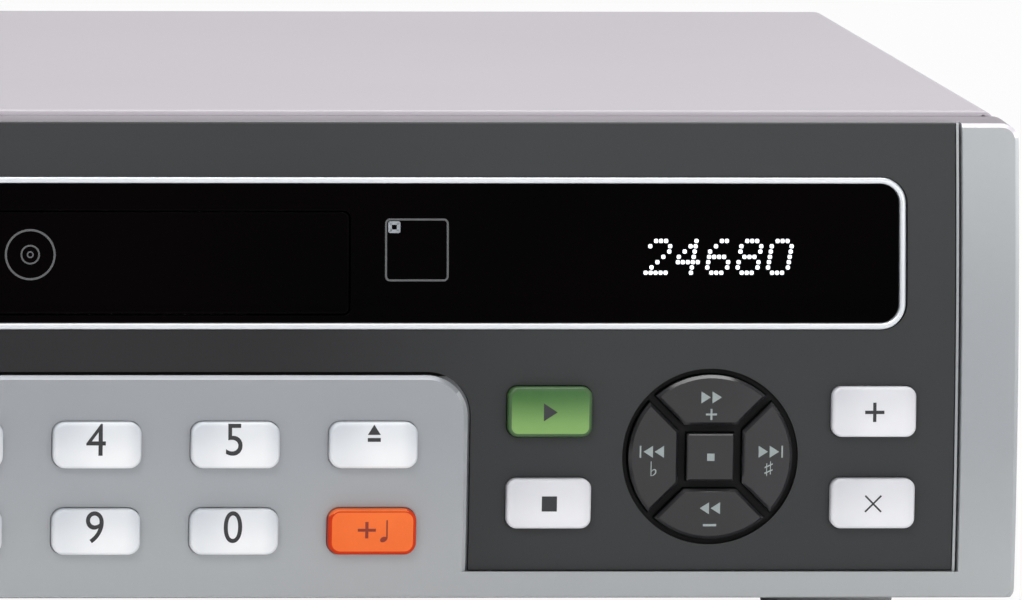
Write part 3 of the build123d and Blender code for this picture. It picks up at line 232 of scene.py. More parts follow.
# %% Lean a flat piece on the barrel
FACE_R, APEX_Z = 380.0, 48.0
STRIP = 4.0


def sag(z):
    return FACE_R - math.sqrt(FACE_R**2 - (z - APEX_Z) ** 2)


def smooth(piece, angle=38.0):
    pick(piece)
    bpy.ops.object.shade_smooth_by_angle(angle=math.radians(angle))
    apply_modifier(piece, "WEIGHTED_NORMAL", keep_sharp=True)
    return piece


def lean(piece, fixed_from=9.0, strips=True):
    """Moves each point back by the barrel's sag; points deeper than fixed_from stay."""
    heights = [drawn(v.co)[2] for v in piece.data.vertices]
    level = math.ceil(min(heights) / STRIP + 0.01) * STRIP
    pick(piece)
    if strips:
        bpy.ops.object.mode_set(mode="EDIT")
        while level < max(heights) - 0.01:
            bpy.ops.mesh.select_all(action="SELECT")
            bpy.ops.mesh.bisect(plane_co=at(0, 0, level), plane_no=(0, 0, 1))
            level += STRIP
        back_to_object()
    for v in piece.data.vertices:
        _, y, z = drawn(v.co)
        if y < fixed_from:
            v.co.y += sag(z) * MM
    return piece


print("sag at the top edge:", round(sag(103), 2), "mm, at the bottom edge:", round(sag(0), 2), "mm")

# %% [markdown]
# ## Front moulding
# One silver moulding makes the two cheeks, the thin strip above and below the dark plate, and
# the raised keypad panel. It starts as a block with round corners; the bed of the dark plate
# and the inside are cut from it, and the panel is added before the twelve key holes are cored
# through it. A moulding always has a small radius on its edges, and that radius is what catches
# the light along the top of the panel.

# %% Block of the moulding, the bed of the plate and the inside
RELIEF = 1.2  # cheeks, bottom strip and panel stand this far ahead of the dark plate
MOULDING_HALF, MOULDING_TOP, MOULDING_BACK = 215, 103, 18.6
PANEL_HALF, PANEL_TOP, PANEL_GAP = 95.4, 48.4, 0.7
BED_HALF = 202.5
TOP_FALL = 0.35  # the top of the moulding falls towards the front
RIB_X, RIB_Y, GROOVE = 201.4, 0.15, 0.5  # a thin rib and a groove between plate and cheek
moulding = slab(
    "front_moulding", -MOULDING_HALF, MOULDING_HALF, -RELIEF, MOULDING_BACK, -0.65, MOULDING_TOP
)
bevel(moulding, lambda p: running_y(p, lowest=50), 4.0, 8)
bevel(moulding, lambda p: running_y(p, highest=50), 2.5, 6)
bevel(moulding, at_depth(-RELIEF), 0.9, 1)
combine(moulding, slab("below", -220, 220, -5, 25, -5, 0))  # leaves a finer edge at the bottom
bed = slab("bed", -BED_HALF, BED_HALF, -5, RIB_Y, 5.7, 112)
combine(bed, slab("seat", -RIB_X, RIB_X, -5, 2.5, 5.7, 112), "UNION")
for side in (-1, 1):
    middle = side * (BED_HALF - GROOVE / 2)
    groove = slab("groove", middle - GROOVE / 2, middle + GROOVE / 2, -5, 3.3, 5.7, 112)
    combine(bed, groove, "UNION")
combine(moulding, bed)
panel = slab("panel", -PANEL_HALF, PANEL_HALF, -RELIEF, 4.0, 3.0, PANEL_TOP)
bevel(panel, lambda p: running_y(p, lowest=40), 9.0, 14)
bevel(panel, at_depth(-RELIEF), 0.9, 1)
combine(moulding, panel, "UNION")
combine(moulding, slab("inside", -212.8, 212.8, 4.7, 30, 2.2, 100.8))
combine(moulding, rounded_slab("under_panel", -93.2, 93.2, 1.0, 7.0, 2.2, 46.2, 7.0))
print("moulding:", len(moulding.data.polygons), "faces")

# %% Rounded edges of the cheeks


def on_cheek_edge(points):
    """True for the edge where a cheek's face meets the groove beside the plate."""
    beside = all(202 < abs(x) < BED_HALF + 0.01 and z > 5.6 for x, _, z in points)
    return beside and at_depth(-RELIEF)(points)


bevel(moulding, on_cheek_edge, 0.35, 3)
print("moulding with its rounded edges:", len(moulding.data.polygons), "faces")

# %% Holes through the moulding
NUMBER_X = [(column - 2.5) * 29.9 for column in range(6)]
NUMBER_Z = (33.5, 14.7)
FUNCTION_Z = (40.6, 20.7)
START_X, RESERVE_X, POWER_X = 113.1, 183.5, -184.5
NAV_X, NAV_Z, NAV_R = 148.2, 30.7, 19.1
KNOB_X, KNOB_Z = (-160.0, -136.0, -112.0), 38.0
JACK_X, JACK_Z = (-136.0, -112.0), 16.5
NUMBER_HOLE = (19.4, 10.3, 2.75)  # width, height and corner radius, as in the next four
FUNCTION_WELL, FUNCTION_HOLE = (21.4, 14.0, 2.0), (18.7, 11.3, 2.4)
NAV_WELL, WINDOW_WELL = (38.2, 38.2, 6.0), (376.0, 28.1, 4.0)
BED_DEPTH = 2.4  # the wells behind the plate start here; its own holes are smaller


def hole(x, z, width, height, radius, y0=-9.0, y1=9.0):
    return rounded_slab(
        "hole", x - width / 2, x + width / 2, y0, y1, z - height / 2, z + height / 2, radius, 6
    )


cores = [hole(x, z, *NUMBER_HOLE) for x in NUMBER_X for z in NUMBER_Z]
places = [(START_X, z) for z in FUNCTION_Z] + [(RESERVE_X, z) for z in FUNCTION_Z]
FUNCTION_PLACES = places + [(POWER_X, FUNCTION_Z[0])]
cores += [hole(x, z, *FUNCTION_WELL, BED_DEPTH) for x, z in FUNCTION_PLACES]
cores.append(hole(NAV_X, NAV_Z, *NAV_WELL, BED_DEPTH))
cores.append(hole(0, 74.65, *WINDOW_WELL, BED_DEPTH))
cores += [rod("hole", x, BED_DEPTH, KNOB_Z, 3.4, 8) for x in KNOB_X]
cores += [rod("hole", x, BED_DEPTH, JACK_Z, 5.0, 8) for x in JACK_X]
combine(moulding, join("cores", cores))
print("moulding with its holes:", len(moulding.data.polygons), "faces")

# %% Soft edges, then the bulge


def ease_edges(piece, width, angle=50.0):
    """A small radius on every sharp edge that is left."""
    choose_all(piece)
    bpy.ops.mesh.remove_doubles(threshold=0.002 * MM)
    back_to_object()
    apply_modifier(
        piece, "BEVEL", width=width * MM, segments=2,
        limit_method="ANGLE", angle_limit=math.radians(angle),
    )
    return piece


FALL_FROM = 99  # what lies above this height falls, most at the front and nothing at the rear
for v in moulding.data.vertices:
    _, y, z = drawn(v.co)
    share = max(z - FALL_FROM, 0) / (MOULDING_TOP - FALL_FROM)
    v.co.z -= TOP_FALL * share * (1 - max(y, 0) / MOULDING_BACK) * MM
smooth(lean(ease_edges(moulding, 0.15)))
print("finished moulding:", len(moulding.data.polygons), "faces")

# %% [markdown]
# ## Dark front plate
# The plate is a separate moulding that drops into the silver one, with a groove along both
# cheeks. Its edge has a visible radius. The window, the panel and five keys need openings, and
# the ring of navigation keys lies in a round recess with a thin floor.

# %% The shape of the navigation keys


def curved_keys(radius, cut, square, y0, y1):
    """Round disc less a square ring and two diagonal bars: four curved keys and a square one."""
    disc = rod("curved_keys", NAV_X, y0, NAV_Z, radius, y1 - y0, sides=128)
    half = square / 2
    combine(disc, slab("middle", NAV_X - half, NAV_X + half, -19, 19, NAV_Z - half, NAV_Z + half))
    for slope in (45, -45):
        diagonal = slab("diagonal", -30, 30, -19, 19, -cut / 2 - FLOOR_Z, cut / 2 - FLOOR_Z)
        turn = Matrix.Rotation(math.radians(slope), 4, "Y")
        diagonal.data.transform(Matrix.Translation(Vector((NAV_X, 0, NAV_Z + FLOOR_Z)) * MM) @ turn)
        combine(disc, diagonal)
    half = square / 2 - cut
    enter = slab("middle", NAV_X - half, NAV_X + half, y0, y1, NAV_Z - half, NAV_Z + half)
    return join("curved_keys", [disc, enter])


print("curved keys can be cut")

# %% Plate with its openings
PLATE_HALF, PLATE_TOP, PLATE_BACK = 201.25, 102.6, 2.45
WINDOW = (190.8, 58.15, 91.15)  # half its width, its bottom and its top


def outline_slab(name, outline, y0, y1, radius, segments):
    half, bottom, top = outline
    return rounded_slab(name, -half, half, y0, y1, bottom, top, radius, segments)


plate = slab("front_plate", -PLATE_HALF, PLATE_HALF, 0, PLATE_BACK, 5.9, PLATE_TOP)
bevel(plate, at_depth(0), 0.25, 3)
openings = [outline_slab("window", WINDOW, -5, 9, 5.9, 12)]
gap_half = PANEL_HALF + PANEL_GAP
gap = slab("panel_gap", -gap_half, gap_half, -5, 9, -5, PANEL_TOP + PANEL_GAP)
bevel(gap, lambda p: running_y(p, lowest=40), 9.5, 14)
openings.append(gap)
openings += [hole(x, z, *FUNCTION_HOLE) for x, z in FUNCTION_PLACES]
openings += [rod("hole", x, -5, KNOB_Z, 3.3, 12) for x in KNOB_X]
openings += [rod("hole", x, -5, JACK_Z, 5.0, 12) for x in JACK_X]
combine(plate, join("openings", openings))
combine(plate, rod("recess", NAV_X, -5, NAV_Z, NAV_R, 6.7, sides=128))
combine(plate, curved_keys(radius=NAV_R - 1.0, cut=1.4, square=13.5, y0=-5, y1=9))
ease_edges(plate, 0.2)
smooth(lean(plate))
print("front plate:", len(plate.data.polygons), "faces")

# %% [markdown]
# ## Window: trim, lens and the door of the tray
# A bright trim frame holds the black lens. The frame is an outline with an inner outline cut
# away, and both of its front edges are rounded so far that they almost meet. The door of the
# disc tray fills a slot in the lens and has the same gloss and the same bulge. The outlines
# lie one inside the other, so each is given by half its width, its bottom and its top.

# %% Trim frame
TRIM, TRIM_INSIDE = (190.3, 58.3, 91.0), (189.0, 59.6, 89.7)
LENS, SLOT, DOOR = (188.9, 59.7, 89.6), (69.85, 61.25, 83.75), (69.5, 61.6, 83.4)
TRIM_FACE, LENS_FACE = -0.8, 0.4
trim = outline_slab("trim_frame", TRIM, TRIM_FACE, PLATE_BACK, 5.5, 14)
combine(trim, outline_slab("opening", TRIM_INSIDE, -5, 9, 4.2, 14))
bevel(trim, at_depth(TRIM_FACE), 0.5, 5)
smooth(lean(trim))
print("trim frame:", len(trim.data.polygons), "faces")

# %% Lens
lens = outline_slab("lens", LENS, LENS_FACE, PLATE_BACK, 4.1, 12)
combine(lens, outline_slab("slot", SLOT, -5, 9, 1.5, 5))
smooth(lean(ease_edges(lens, 0.15)))
print("lens:", len(lens.data.polygons), "faces")

# %% Door of the disc tray
door = outline_slab("disc_door", DOOR, LENS_FACE, 3.0, 1.2, 5)
bevel(door, at_depth(LENS_FACE), 0.25, 3)
lean(door)
bar = slab("bar", -62, 62, 2.9, 5.45, 70.1, 75.9)
bevel(bar, running_y, 0.8, 3)
for v in bar.data.vertices:
    if drawn(v.co)[1] < 4:  # its front end follows the door back
        v.co.y += sag(73) * MM
smooth(join("disc_door", [door, bar]))
print("door:", len(door.data.polygons), "faces")

# %% [markdown]
# ## Keys
# Each key is a moulded cap with a rounded outline, a soft edge and a slightly crowned face. One
# cap is modelled and copied to its twelve or five places, and the copy is leaned on the bulge
# only when it is in place, because the barrel's slope changes with the height. Behind the front
# a key has a collar that keeps it from falling out, and a stem that presses its switch. The
# collar's outline and the stem's end come from the CAD node of the key.

# %% A cap with a crown
CROWN = 0.4


def slice_up(piece, axis, step, middle):
    """Cuts a piece at every `step` millimetres to both sides of a middle."""
    places = [drawn(v.co)[axis] for v in piece.data.vertices]
    first = math.ceil((min(places) - middle) / step + 0.01)
    last = math.floor((max(places) - middle) / step - 0.01)
    pick(piece)
    bpy.ops.object.mode_set(mode="EDIT")
    for number in range(first, last + 1):
        spot = [0, 0, 0]
        spot[axis] = middle + number * step
        bpy.ops.mesh.select_all(action="SELECT")
        normal = [float(a == axis) for a in range(3)]
        bpy.ops.mesh.bisect(plane_co=at(*spot), plane_no=normal)
    back_to_object()


def crown(piece, width, height, deepest):
    """Swells the front of a cap, most in its middle and nothing at its outline."""
    for v in piece.data.vertices:
        x, y, z = drawn(v.co)
        if y < deepest:
            across = max(1 - (x / (width / 2)) ** 2, 0) * max(1 - ((z - APEX_Z) / (height / 2)) ** 2, 0)
            v.co.y -= CROWN * across * MM


def cap(name, size, radius, stand, deep):
    """Key cap in the middle of the foremost line; its face stands `stand` proud."""
    width, height = size
    piece = rounded_slab(
        name, -width / 2, width / 2, -stand, deep, APEX_Z - height / 2, APEX_Z + height / 2, radius
    )
    bevel(piece, at_depth(-stand), 0.75, 5)
    slice_up(piece, 0, 1.5, 0)
    slice_up(piece, 2, 1.25, APEX_Z)
    crown(piece, width, height, 0.5 - stand)
    return piece


def add_stem(key, node, middle, behind, collar=True):
    """Melts a collar and a stem on a key; a key without a collar only gets the stem."""
    low, high = (drawn(corner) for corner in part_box(node))
    seat = behind + max(sag(low[2]), sag(high[2]))
    x, z = middle
    if collar:
        combine(key, slab("collar", low[0], high[0], seat, seat + 1.0, low[2], high[2]), "UNION")
    start = seat + 0.5 if collar else 2.0
    return combine(key, slab("stem", x - 2, x + 2, start, high[1], z - 2, z + 2), "UNION")


def set_key(pattern, node, x, z, behind):
    """A copy of a cap at its place on the front, with its collar and stem."""
    key = copy_of(pattern, f"{node}_cap", x, 0, z - APEX_Z)
    lean(key, fixed_from=20.0, strips=False)
    return smooth(add_stem(key, node, (x, z), behind))


BEHIND_MOULDING, BEHIND_PLATE = 1.2, 2.7  # where the collars start
NUMBER_SIZE, NUMBER_CORNER, NUMBER_STAND = (19.1, 10.0), 2.6, 3.9
FUNCTION_SIZE, FUNCTION_CORNER, FUNCTION_STAND = (18.3, 10.9), 2.2, 2.6
number_cap = cap("number_cap", NUMBER_SIZE, NUMBER_CORNER, NUMBER_STAND, 1.5)
function_cap = cap("function_cap", FUNCTION_SIZE, FUNCTION_CORNER, FUNCTION_STAND, 2.9)
print("number cap:", len(number_cap.data.polygons), "faces")

# %% All the caps in their places
keys = {}
for row, digits in enumerate(("12345", "67890")):
    for column, digit in enumerate(digits):
        name = f"number_key_{digit}"
        keys[name] = set_key(number_cap, name, NUMBER_X[column], NUMBER_Z[row], BEHIND_MOULDING)
for name, z in zip(("eject_key", "new_song_key"), NUMBER_Z):
    keys[name] = set_key(number_cap, name, NUMBER_X[5], z, BEHIND_MOULDING)
FUNCTION_NAMES = ("start_key", "stop_key", "reserve_key", "cancel_key", "power_key")
for name, (x, z) in zip(FUNCTION_NAMES, FUNCTION_PLACES):
    keys[name] = set_key(function_cap, name, x, z, BEHIND_PLATE)
for pattern in (number_cap, function_cap):
    bpy.data.objects.remove(pattern)
print("caps:", len(keys))

# %% [markdown]
# ## Navigation keys
# The four curved keys and the square one are what is left of a round disc when a square ring
# and two diagonal bars are cut out of it. So one disc is cut, and its loose parts are then
# separated into keys: neighbours fit each other by themselves.

# %% One disc becomes five keys
STAND = 1.3
disc = curved_keys(radius=NAV_R - 1.3, cut=1.8, square=13.9, y0=-STAND, y1=2.6)
choose_all(disc)
bpy.ops.mesh.separate(type="LOOSE")
back_to_object()
for part in list(bpy.context.selected_objects):
    xs, _, zs = zip(*(drawn(v.co) for v in part.data.vertices))
    x, z = sum(xs) / len(xs) - NAV_X, sum(zs) / len(zs) - NAV_Z
    side = ("right" if x > 0 else "left") if abs(x) > abs(z) else ("up" if z > 0 else "down")
    name = "enter_key" if max(abs(x), abs(z)) < 2 else f"arc_key_{side}"
    if name == "enter_key":
        bevel(part, running_y, 0.4, 3)
    bevel(part, at_depth(-STAND), 0.65, 1)
    part.name = part.data.name = f"{name}_cap"
    middle = (NAV_X + x, NAV_Z + z)
    keys[name] = smooth(add_stem(lean(part, fixed_from=20.0), name, middle, 0, collar=False))
print("keys:", sorted(keys))

# %% [markdown]
# ## Knobs and microphone jacks
# The three level knobs are turned parts: a grip that widens a little to the rear, a thin rim
# behind it and a groove as the pointer. A cylinder gives the grip, its rear is widened and
# extruded, and its front is inset and pushed in for the dished face. The jacks are what a buyer
# of such jacks gets: a bush, a washer and a hexagon nut. The bush's thread is left out, because
# the nut hides most of it.

# %% Level knob
MIDDLE_X = KNOB_X[1]
KNOB_FACE, KNOB_REAR, GRIP_R, RIM_R = -11.4, 0.2, 6.6, 7.3
knob = rod("knob", MIDDLE_X, KNOB_FACE, KNOB_Z, GRIP_R, KNOB_REAR - KNOB_FACE, sides=64)
choose(knob, at_depth(KNOB_REAR), "FACE")
bpy.ops.transform.resize(value=(RIM_R / GRIP_R, 1, RIM_R / GRIP_R))
bpy.ops.mesh.extrude_region_move(TRANSFORM_OT_translate={"value": (0, 0.6 * MM, 0)})
back_to_object()
choose(knob, at_depth(KNOB_FACE), "FACE")
bpy.ops.mesh.inset(thickness=0.9 * MM, depth=0)
bpy.ops.mesh.inset(thickness=0.25 * MM, depth=-0.35 * MM)
back_to_object()
bevel(knob, at_depth(KNOB_FACE), 0.25, 3)
pointer = slab("pointer", MIDDLE_X - 0.45, MIDDLE_X + 0.45, -13, -10.9, KNOB_Z + 1.8, KNOB_Z + 8)
combine(knob, pointer)
shaft = rod("shaft", MIDDLE_X, 0.5, KNOB_Z, 3.0, 9.5)
bevel(shaft, at_depth(10.0), 0.3, 2)
knob = smooth(join("level_knob", [knob, shaft]))
knobs = [copy_of(knob, f"level_knob_{i + 1}", x - MIDDLE_X) for i, x in enumerate(KNOB_X)]
bpy.data.objects.remove(knob)
for piece in knobs:
    for v in piece.data.vertices:
        if -2 < drawn(v.co)[1] < 0.9:  # the rim sits on the leaning plate
            v.co.y += (sag(KNOB_Z) - 0.1) * MM
print("knobs:", len(knobs), "of", len(knobs[0].data.polygons), "faces")

# %% Microphone jack with its nut
NUT_R, BORE_R = 7.0, 3.25
JACK_PITCH = JACK_X[1] - JACK_X[0]
face = sag(JACK_Z + NUT_R)
bush_front, nut_front, washer_front = face - 3.0, face - 2.4, face - 0.3
bush = rod("bush", JACK_X[0], bush_front, JACK_Z, 4.85, 12, sides=64)
bevel(bush, at_depth(bush_front), 0.4, 3)
nut = rod("nut", JACK_X[0], nut_front, JACK_Z, NUT_R, 2.1, sides=6)
bevel(nut, lambda p: at_depth(nut_front)(p) or at_depth(washer_front)(p), 0.45, 3)
washer = rod("washer", JACK_X[0], washer_front, JACK_Z, NUT_R, 0.25, sides=64)
bevel(washer, at_depth(washer_front), 0.1, 2)
holder = slab("holder", JACK_X[0] - 7, JACK_X[0] + 7, 5.5, 35, JACK_Z - 7, JACK_Z + 7)
bevel(holder, running_y, 1.0, 3)
for part in (bush, nut, washer, holder):
    combine(part, rod("bore", JACK_X[0], -9, JACK_Z, BORE_R, 40, sides=64))
bevel(bush, lambda p: at_depth(bush_front)(p) and abs(p[0][2] - JACK_Z) < BORE_R + 0.05, 0.2, 2)
jack = smooth(join("microphone_jacks", [bush, nut, washer]), 30)
smooth(holder, 30)
jacks = join("microphone_jacks", [jack, copy_of(jack, "second", JACK_PITCH)])
jack_holders = join("microphone_jack_holders", [holder, copy_of(holder, "second", JACK_PITCH)])
print("jacks:", len(jacks.data.polygons), "faces")

# %% [markdown]
# ## Sheet cover
# The cover is one sheet folded over the top and both sides. It is made as a folder makes it: a
# block gives the outside, its two long edges get the bend radius, the faces that a sheet does
# not have are deleted, and Solidify gives the thickness inwards. Slots are then punched.

# %% Folded sheet
COVER_HALF, COVER_TOP, COVER_BOTTOM = 211.8, 104.2, 1.0
COVER_FRONT, REAR_FACE, SHEET = 18.7, 300, 1.0
cover = slab("sheet_cover", -COVER_HALF, COVER_HALF, COVER_FRONT, REAR_FACE, COVER_BOTTOM, COVER_TOP)
bevel(cover, lambda p: running_y(p, lowest=50), 3.0, 8)
for test in (
    at_depth(COVER_FRONT), at_depth(REAR_FACE), lambda p: all(q[2] < COVER_BOTTOM + 0.01 for q in p)
):
    choose(cover, test, "FACE")
    bpy.ops.mesh.delete(type="FACE")
    back_to_object()
apply_modifier(cover, "SOLIDIFY", thickness=SHEET * MM, offset=-1)
HEM = 20.2  # the sheet's front rim is a little thicker up to here
choose_all(cover)
bpy.ops.mesh.bisect(plane_co=at(0, HEM, 0), plane_no=(0, 1, 0))
back_to_object()
choose(cover, lambda p: all(
    y < HEM + 0.1 and abs(z - COVER_TOP + SHEET) < 0.01 for _, y, z in p
), "FACE")
bpy.ops.transform.translate(value=(0, 0, -0.3 * MM))
back_to_object()
slots = []
for number in range(9):
    y = 170.0 + number * 8.0
    slot = slab("slot", -230, 230, y - 1.5, y + 1.5, 44, 80)
    bevel(slot, lambda p: abs(p[0][0] - p[1][0]) > 10, 1.45, 5)
    slots.append(slot)
combine(cover, join("slots", slots))
bevel(cover, lambda p: at_depth(COVER_FRONT)(p) and min(q[2] for q in p) > COVER_TOP - 0.1, 0.5, 4)
ease_edges(cover, 0.18, angle=60)
smooth(cover)
print("cover:", len(cover.data.polygons), "faces")

# %% [markdown]
# ## Screws and feet
# A pan-head screw is a low dome with a cross recess. One is modelled at the rear and copied;
# the four in the cover's sides are the same screw turned a quarter. A foot is a moulded cup, grey
# with a dark sole of rubber: a cone with a rounded lower edge and a dished underside.

# %% Pan-head screws
REAR_SCREW_X, SIDE_SCREW_Y = (-190.0, 0.0, 190.0), (48.0, 262.0)
low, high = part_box("screws")
SCREW_Z = round((low.z + high.z) / 2 / MM - FLOOR_Z, 2)
head = rod("screw", 0, REAR_FACE - 0.1, SCREW_Z, 2.9, 1.8, sides=32)
bevel(head, at_depth(REAR_FACE + 1.7), 1.1, 5)
for wide, tall in ((0.7, 3.2), (3.2, 0.7)):
    bottom, top = SCREW_Z - tall / 2, SCREW_Z + tall / 2
    combine(head, slab("cross", -wide / 2, wide / 2, REAR_FACE + 0.7, REAR_FACE + 4, bottom, top))
smooth(head, 30)
screw_copies = [copy_of(head, "screw", x) for x in REAR_SCREW_X]
for side in (-1, 1):
    for y in SIDE_SCREW_Y:
        screw = copy_of(head, "screw", 0, -REAR_FACE)
        turn = Matrix.Rotation(-side * math.pi / 2, 4, "Z")
        pivot = Matrix.Translation(at(0, 0, SCREW_Z))
        place = Matrix.Translation(Vector((side * COVER_HALF, y, 0)) * MM)
        screw.data.transform(place @ pivot @ turn @ pivot.inverted())
        screw_copies.append(screw)
bpy.data.objects.remove(head)
screws = join("cover_screws", screw_copies)
print("screws at z =", SCREW_Z, "mm:", len(screws.data.polygons), "faces")

# %% Feet


def on_sole(points):
    return all(z < -FLOOR_Z + 0.01 for _, _, z in points)


low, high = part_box("feet")
FOOT_X = round(high.x / MM - 15.0, 2)
drop_selection()
bpy.ops.mesh.primitive_cone_add(
    vertices=64, radius1=13.8 * MM, radius2=15.0 * MM, depth=8 * MM, location=at(FOOT_X, 48, -4)
)
foot = settle("foot")
bevel(foot, on_sole, 1.0, 4)
choose(foot, on_sole, "FACE")
bpy.ops.mesh.inset(thickness=2.2 * MM, depth=0)
bpy.ops.mesh.inset(thickness=0.5 * MM, depth=0)
bpy.ops.transform.translate(value=(0, 0, 0.8 * MM))
back_to_object()
smooth(foot, 30)
foot_places = [(dx, dy) for dx in (0, -2 * FOOT_X) for dy in (0, 214)]
feet = join("rubber_feet", [copy_of(foot, "foot", dx, dy) for dx, dy in foot_places])
bpy.data.objects.remove(foot)
print("feet at x =", FOOT_X, "mm:", len(feet.data.polygons), "faces")

# %% [markdown]
# ## Rear sockets
# The output sockets are coaxial jacks: a plated shell round a coloured ring of plastic, which has
# the hole for the plug's pin. The contact inside that hole is left out. The mains inlet is a
# moulded well with two pins. Both are placed by the CAD nodes that they stand in for.

# %% Output sockets


def middle_across(low, high):
    """Middle of a CAD node's box from left to right, in millimetres."""
    return round((low.x + high.x) / 2 / MM, 2)


low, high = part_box("rca_jacks")
middle_x = middle_across(low, high)
SOCKET_Z, SOCKET_PITCH = 30.0, 20
socket_block = slab("socket_block", middle_x - 28, middle_x + 28, 285, 298.9, 8.7, 40)
bevel(socket_block, lambda p: True, 0.4, 2)
shell = rod("shell", middle_x, 298.5, SOCKET_Z, 4.15, 9.5, sides=48)
combine(shell, rod("bore", middle_x, 301, SOCKET_Z, 3.6, 9, sides=48))
bevel(shell, at_depth(308), 0.2, 2)
flange = rod("flange", middle_x, 300.1, SOCKET_Z, 6.2, 0.5, sides=6)
bevel(flange, at_depth(300.6), 0.15, 2)
smooth(shell, 30)
smooth(flange, 30)
shell = join("shell", [shell, flange])
ring = rod("ring", middle_x, 299, SOCKET_Z, 3.5, 8.3, sides=40)
combine(ring, rod("bore", middle_x, 303, SOCKET_Z, 1.6, 9, sides=32))
bevel(ring, at_depth(307.3), 0.2, 2)
smooth(ring, 30)
places = (-SOCKET_PITCH, 0, SOCKET_PITCH)
shells = join("output_shells", [copy_of(shell, "shell", dx) for dx in places])
rings = [copy_of(ring, f"output_ring_{i + 1}", dx) for i, dx in enumerate(places)]
for pattern in (shell, ring):
    bpy.data.objects.remove(pattern)
print("sockets round x =", middle_x, "mm")

# %% Mains inlet
low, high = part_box("mains_inlet")
inlet_x = middle_across(low, high)
inlet = rounded_slab("inlet", inlet_x - 15, inlet_x + 15, 300.05, 302, 23, 45, 3.0, 8)
bevel(inlet, at_depth(302), 0.5, 3)
shell = slab("inlet_shell", inlet_x - 11.95, inlet_x + 11.95, 284, 301, 26.05, 41.95)
bevel(shell, running_y, 1.0, 3)
combine(inlet, shell, "UNION")
combine(inlet, rounded_slab("well", inlet_x - 10, inlet_x + 10, 286, 310, 28, 40, 3.0, 8))
smooth(ease_edges(inlet, 0.12))
pin = rod("pin", inlet_x - 4.3, 285, 34, 1.2, 12, sides=24)
bevel(pin, at_depth(297), 0.5, 4)
smooth(pin, 30)
pins = join("inlet_pins", [pin, copy_of(pin, "pin", 8.6)])
print("inlet round x =", inlet_x, "mm")

# %% [markdown]
# ## Legends
# Legends are printed: they have almost no thickness and follow the face below them. Each one is
# typed as text, made a mesh, scaled to its height in millimetres, laid on the face and leaned
# with it. Only plain digits and the usual symbols of players are printed.

# %% Printed symbols
INK = 0.04  # how far the print stands on its face


def symbol_plate(name, symbol, x, z, height, depth, narrow=1.0):
    """Text as a flat mesh with its middle at x and z, at one depth of the drawing."""
    drop_selection()
    bpy.ops.object.text_add(rotation=(math.pi / 2, 0, 0))
    text = bpy.context.object
    text.data.body = symbol
    bpy.ops.object.convert(target="MESH")
    piece = settle(name)
    xs = [v.co.x for v in piece.data.vertices]
    zs = [v.co.z for v in piece.data.vertices]
    scale = height * MM / (max(zs) - min(zs))
    middle = Vector(((max(xs) + min(xs)) / 2, 0, (max(zs) + min(zs)) / 2))
    piece.data.transform(Matrix.Translation(-middle))
    piece.data.transform(Matrix.Diagonal((scale * narrow, scale, scale, 1)))
    piece.data.transform(Matrix.Translation(at(x, depth, z)))
    return piece


def print_on_cap(name, symbol, key_place, offset, height, size, stand, narrow=1.0):
    """A print that swells and leans exactly as the cap below it does."""
    piece = symbol_plate(name, symbol, offset[0], APEX_Z + offset[1], height, -stand - INK, narrow)
    slice_up(piece, 2, 1.25, APEX_Z)
    crown(piece, *size, 0)
    piece.data.transform(Matrix.Translation(Vector((key_place[0], 0, key_place[1] - APEX_Z)) * MM))
    return lean(piece, strips=False)


def print_on_face(name, symbol, x, z, height, depth, narrow=1.0):
    return lean(symbol_plate(name, symbol, x, z, height, depth - INK, narrow))


legends = {}
for index, digit in enumerate("1234567890"):
    row = index // 5
    legends[f"number_key_{digit}"] = [print_on_cap(
        "digit", digit, (NUMBER_X[index % 5], NUMBER_Z[row]),
        (-0.4, (1.3, 1.1)[row]), 6.9, NUMBER_SIZE, NUMBER_STAND, 0.92,
    )]
for name, symbol, place, up, height, narrow in (
    ("eject_key", "⏏", (NUMBER_X[5], NUMBER_Z[0]), 2.7, 3.7, 0.66),
    ("new_song_key", "+♩", (NUMBER_X[5], NUMBER_Z[1]), 0.2, 4.8, 1.1),
):
    legends[name] = [print_on_cap(
        "symbol", symbol, place, (0, up), height, NUMBER_SIZE, NUMBER_STAND, narrow
    )]
for name, symbol, place, height, narrow in zip(
    FUNCTION_NAMES, "▶■+✕|", FUNCTION_PLACES, (3.9, 3.3, 4.2, 3.8, 3.6), (0.9, 1.0, 1.0, 1.0, 1.0)
):
    legends[name] = [print_on_cap(
        "symbol", symbol, place, (0, 0), height, FUNCTION_SIZE, FUNCTION_STAND, narrow
    )]
legends["enter_key"] = [print_on_face("symbol", "■", NAV_X, NAV_Z, 1.6, -STAND)]
for side, arrows, across, above, sign, sign_height in (
    ("up", "▶▶", 0, 13.0, "+", 2.4), ("down", "◀◀", 0, -11.1, "−", 0.5),
    ("left", "◀◀", -12.4, 1.2, "♭", 3.2), ("right", "▶▶", 12.6, 1.2, "♯", 3.2),
):
    x, z = NAV_X + across, NAV_Z + above
    marks = [(arrows, x, z, 2.6, -STAND, 0.92), (sign, x, z - 3.7, sign_height, -STAND)]
    if side in ("left", "right"):
        marks.append(("|", x + (-2.9 if side == "left" else 2.9), z, 2.6, -STAND, 1.6))
    legends[f"arc_key_{side}"] = [print_on_face("symbol", *mark) for mark in marks]
legends = {name: join(f"{name}_legend", prints) for name, prints in legends.items()}
print("legends:", len(legends))

# %% [markdown]
# ## What the window shows
# On the real machine a dot-matrix display shines through the dark lens, and left of it a thin
# square frame is printed. The lens could be made clear, with a lit display behind it. Here it
# is black, and the lit points lie on its face as small flat plates, one for each point, because
# their size and brightness are then set directly. Three rings on the door mark the tray.

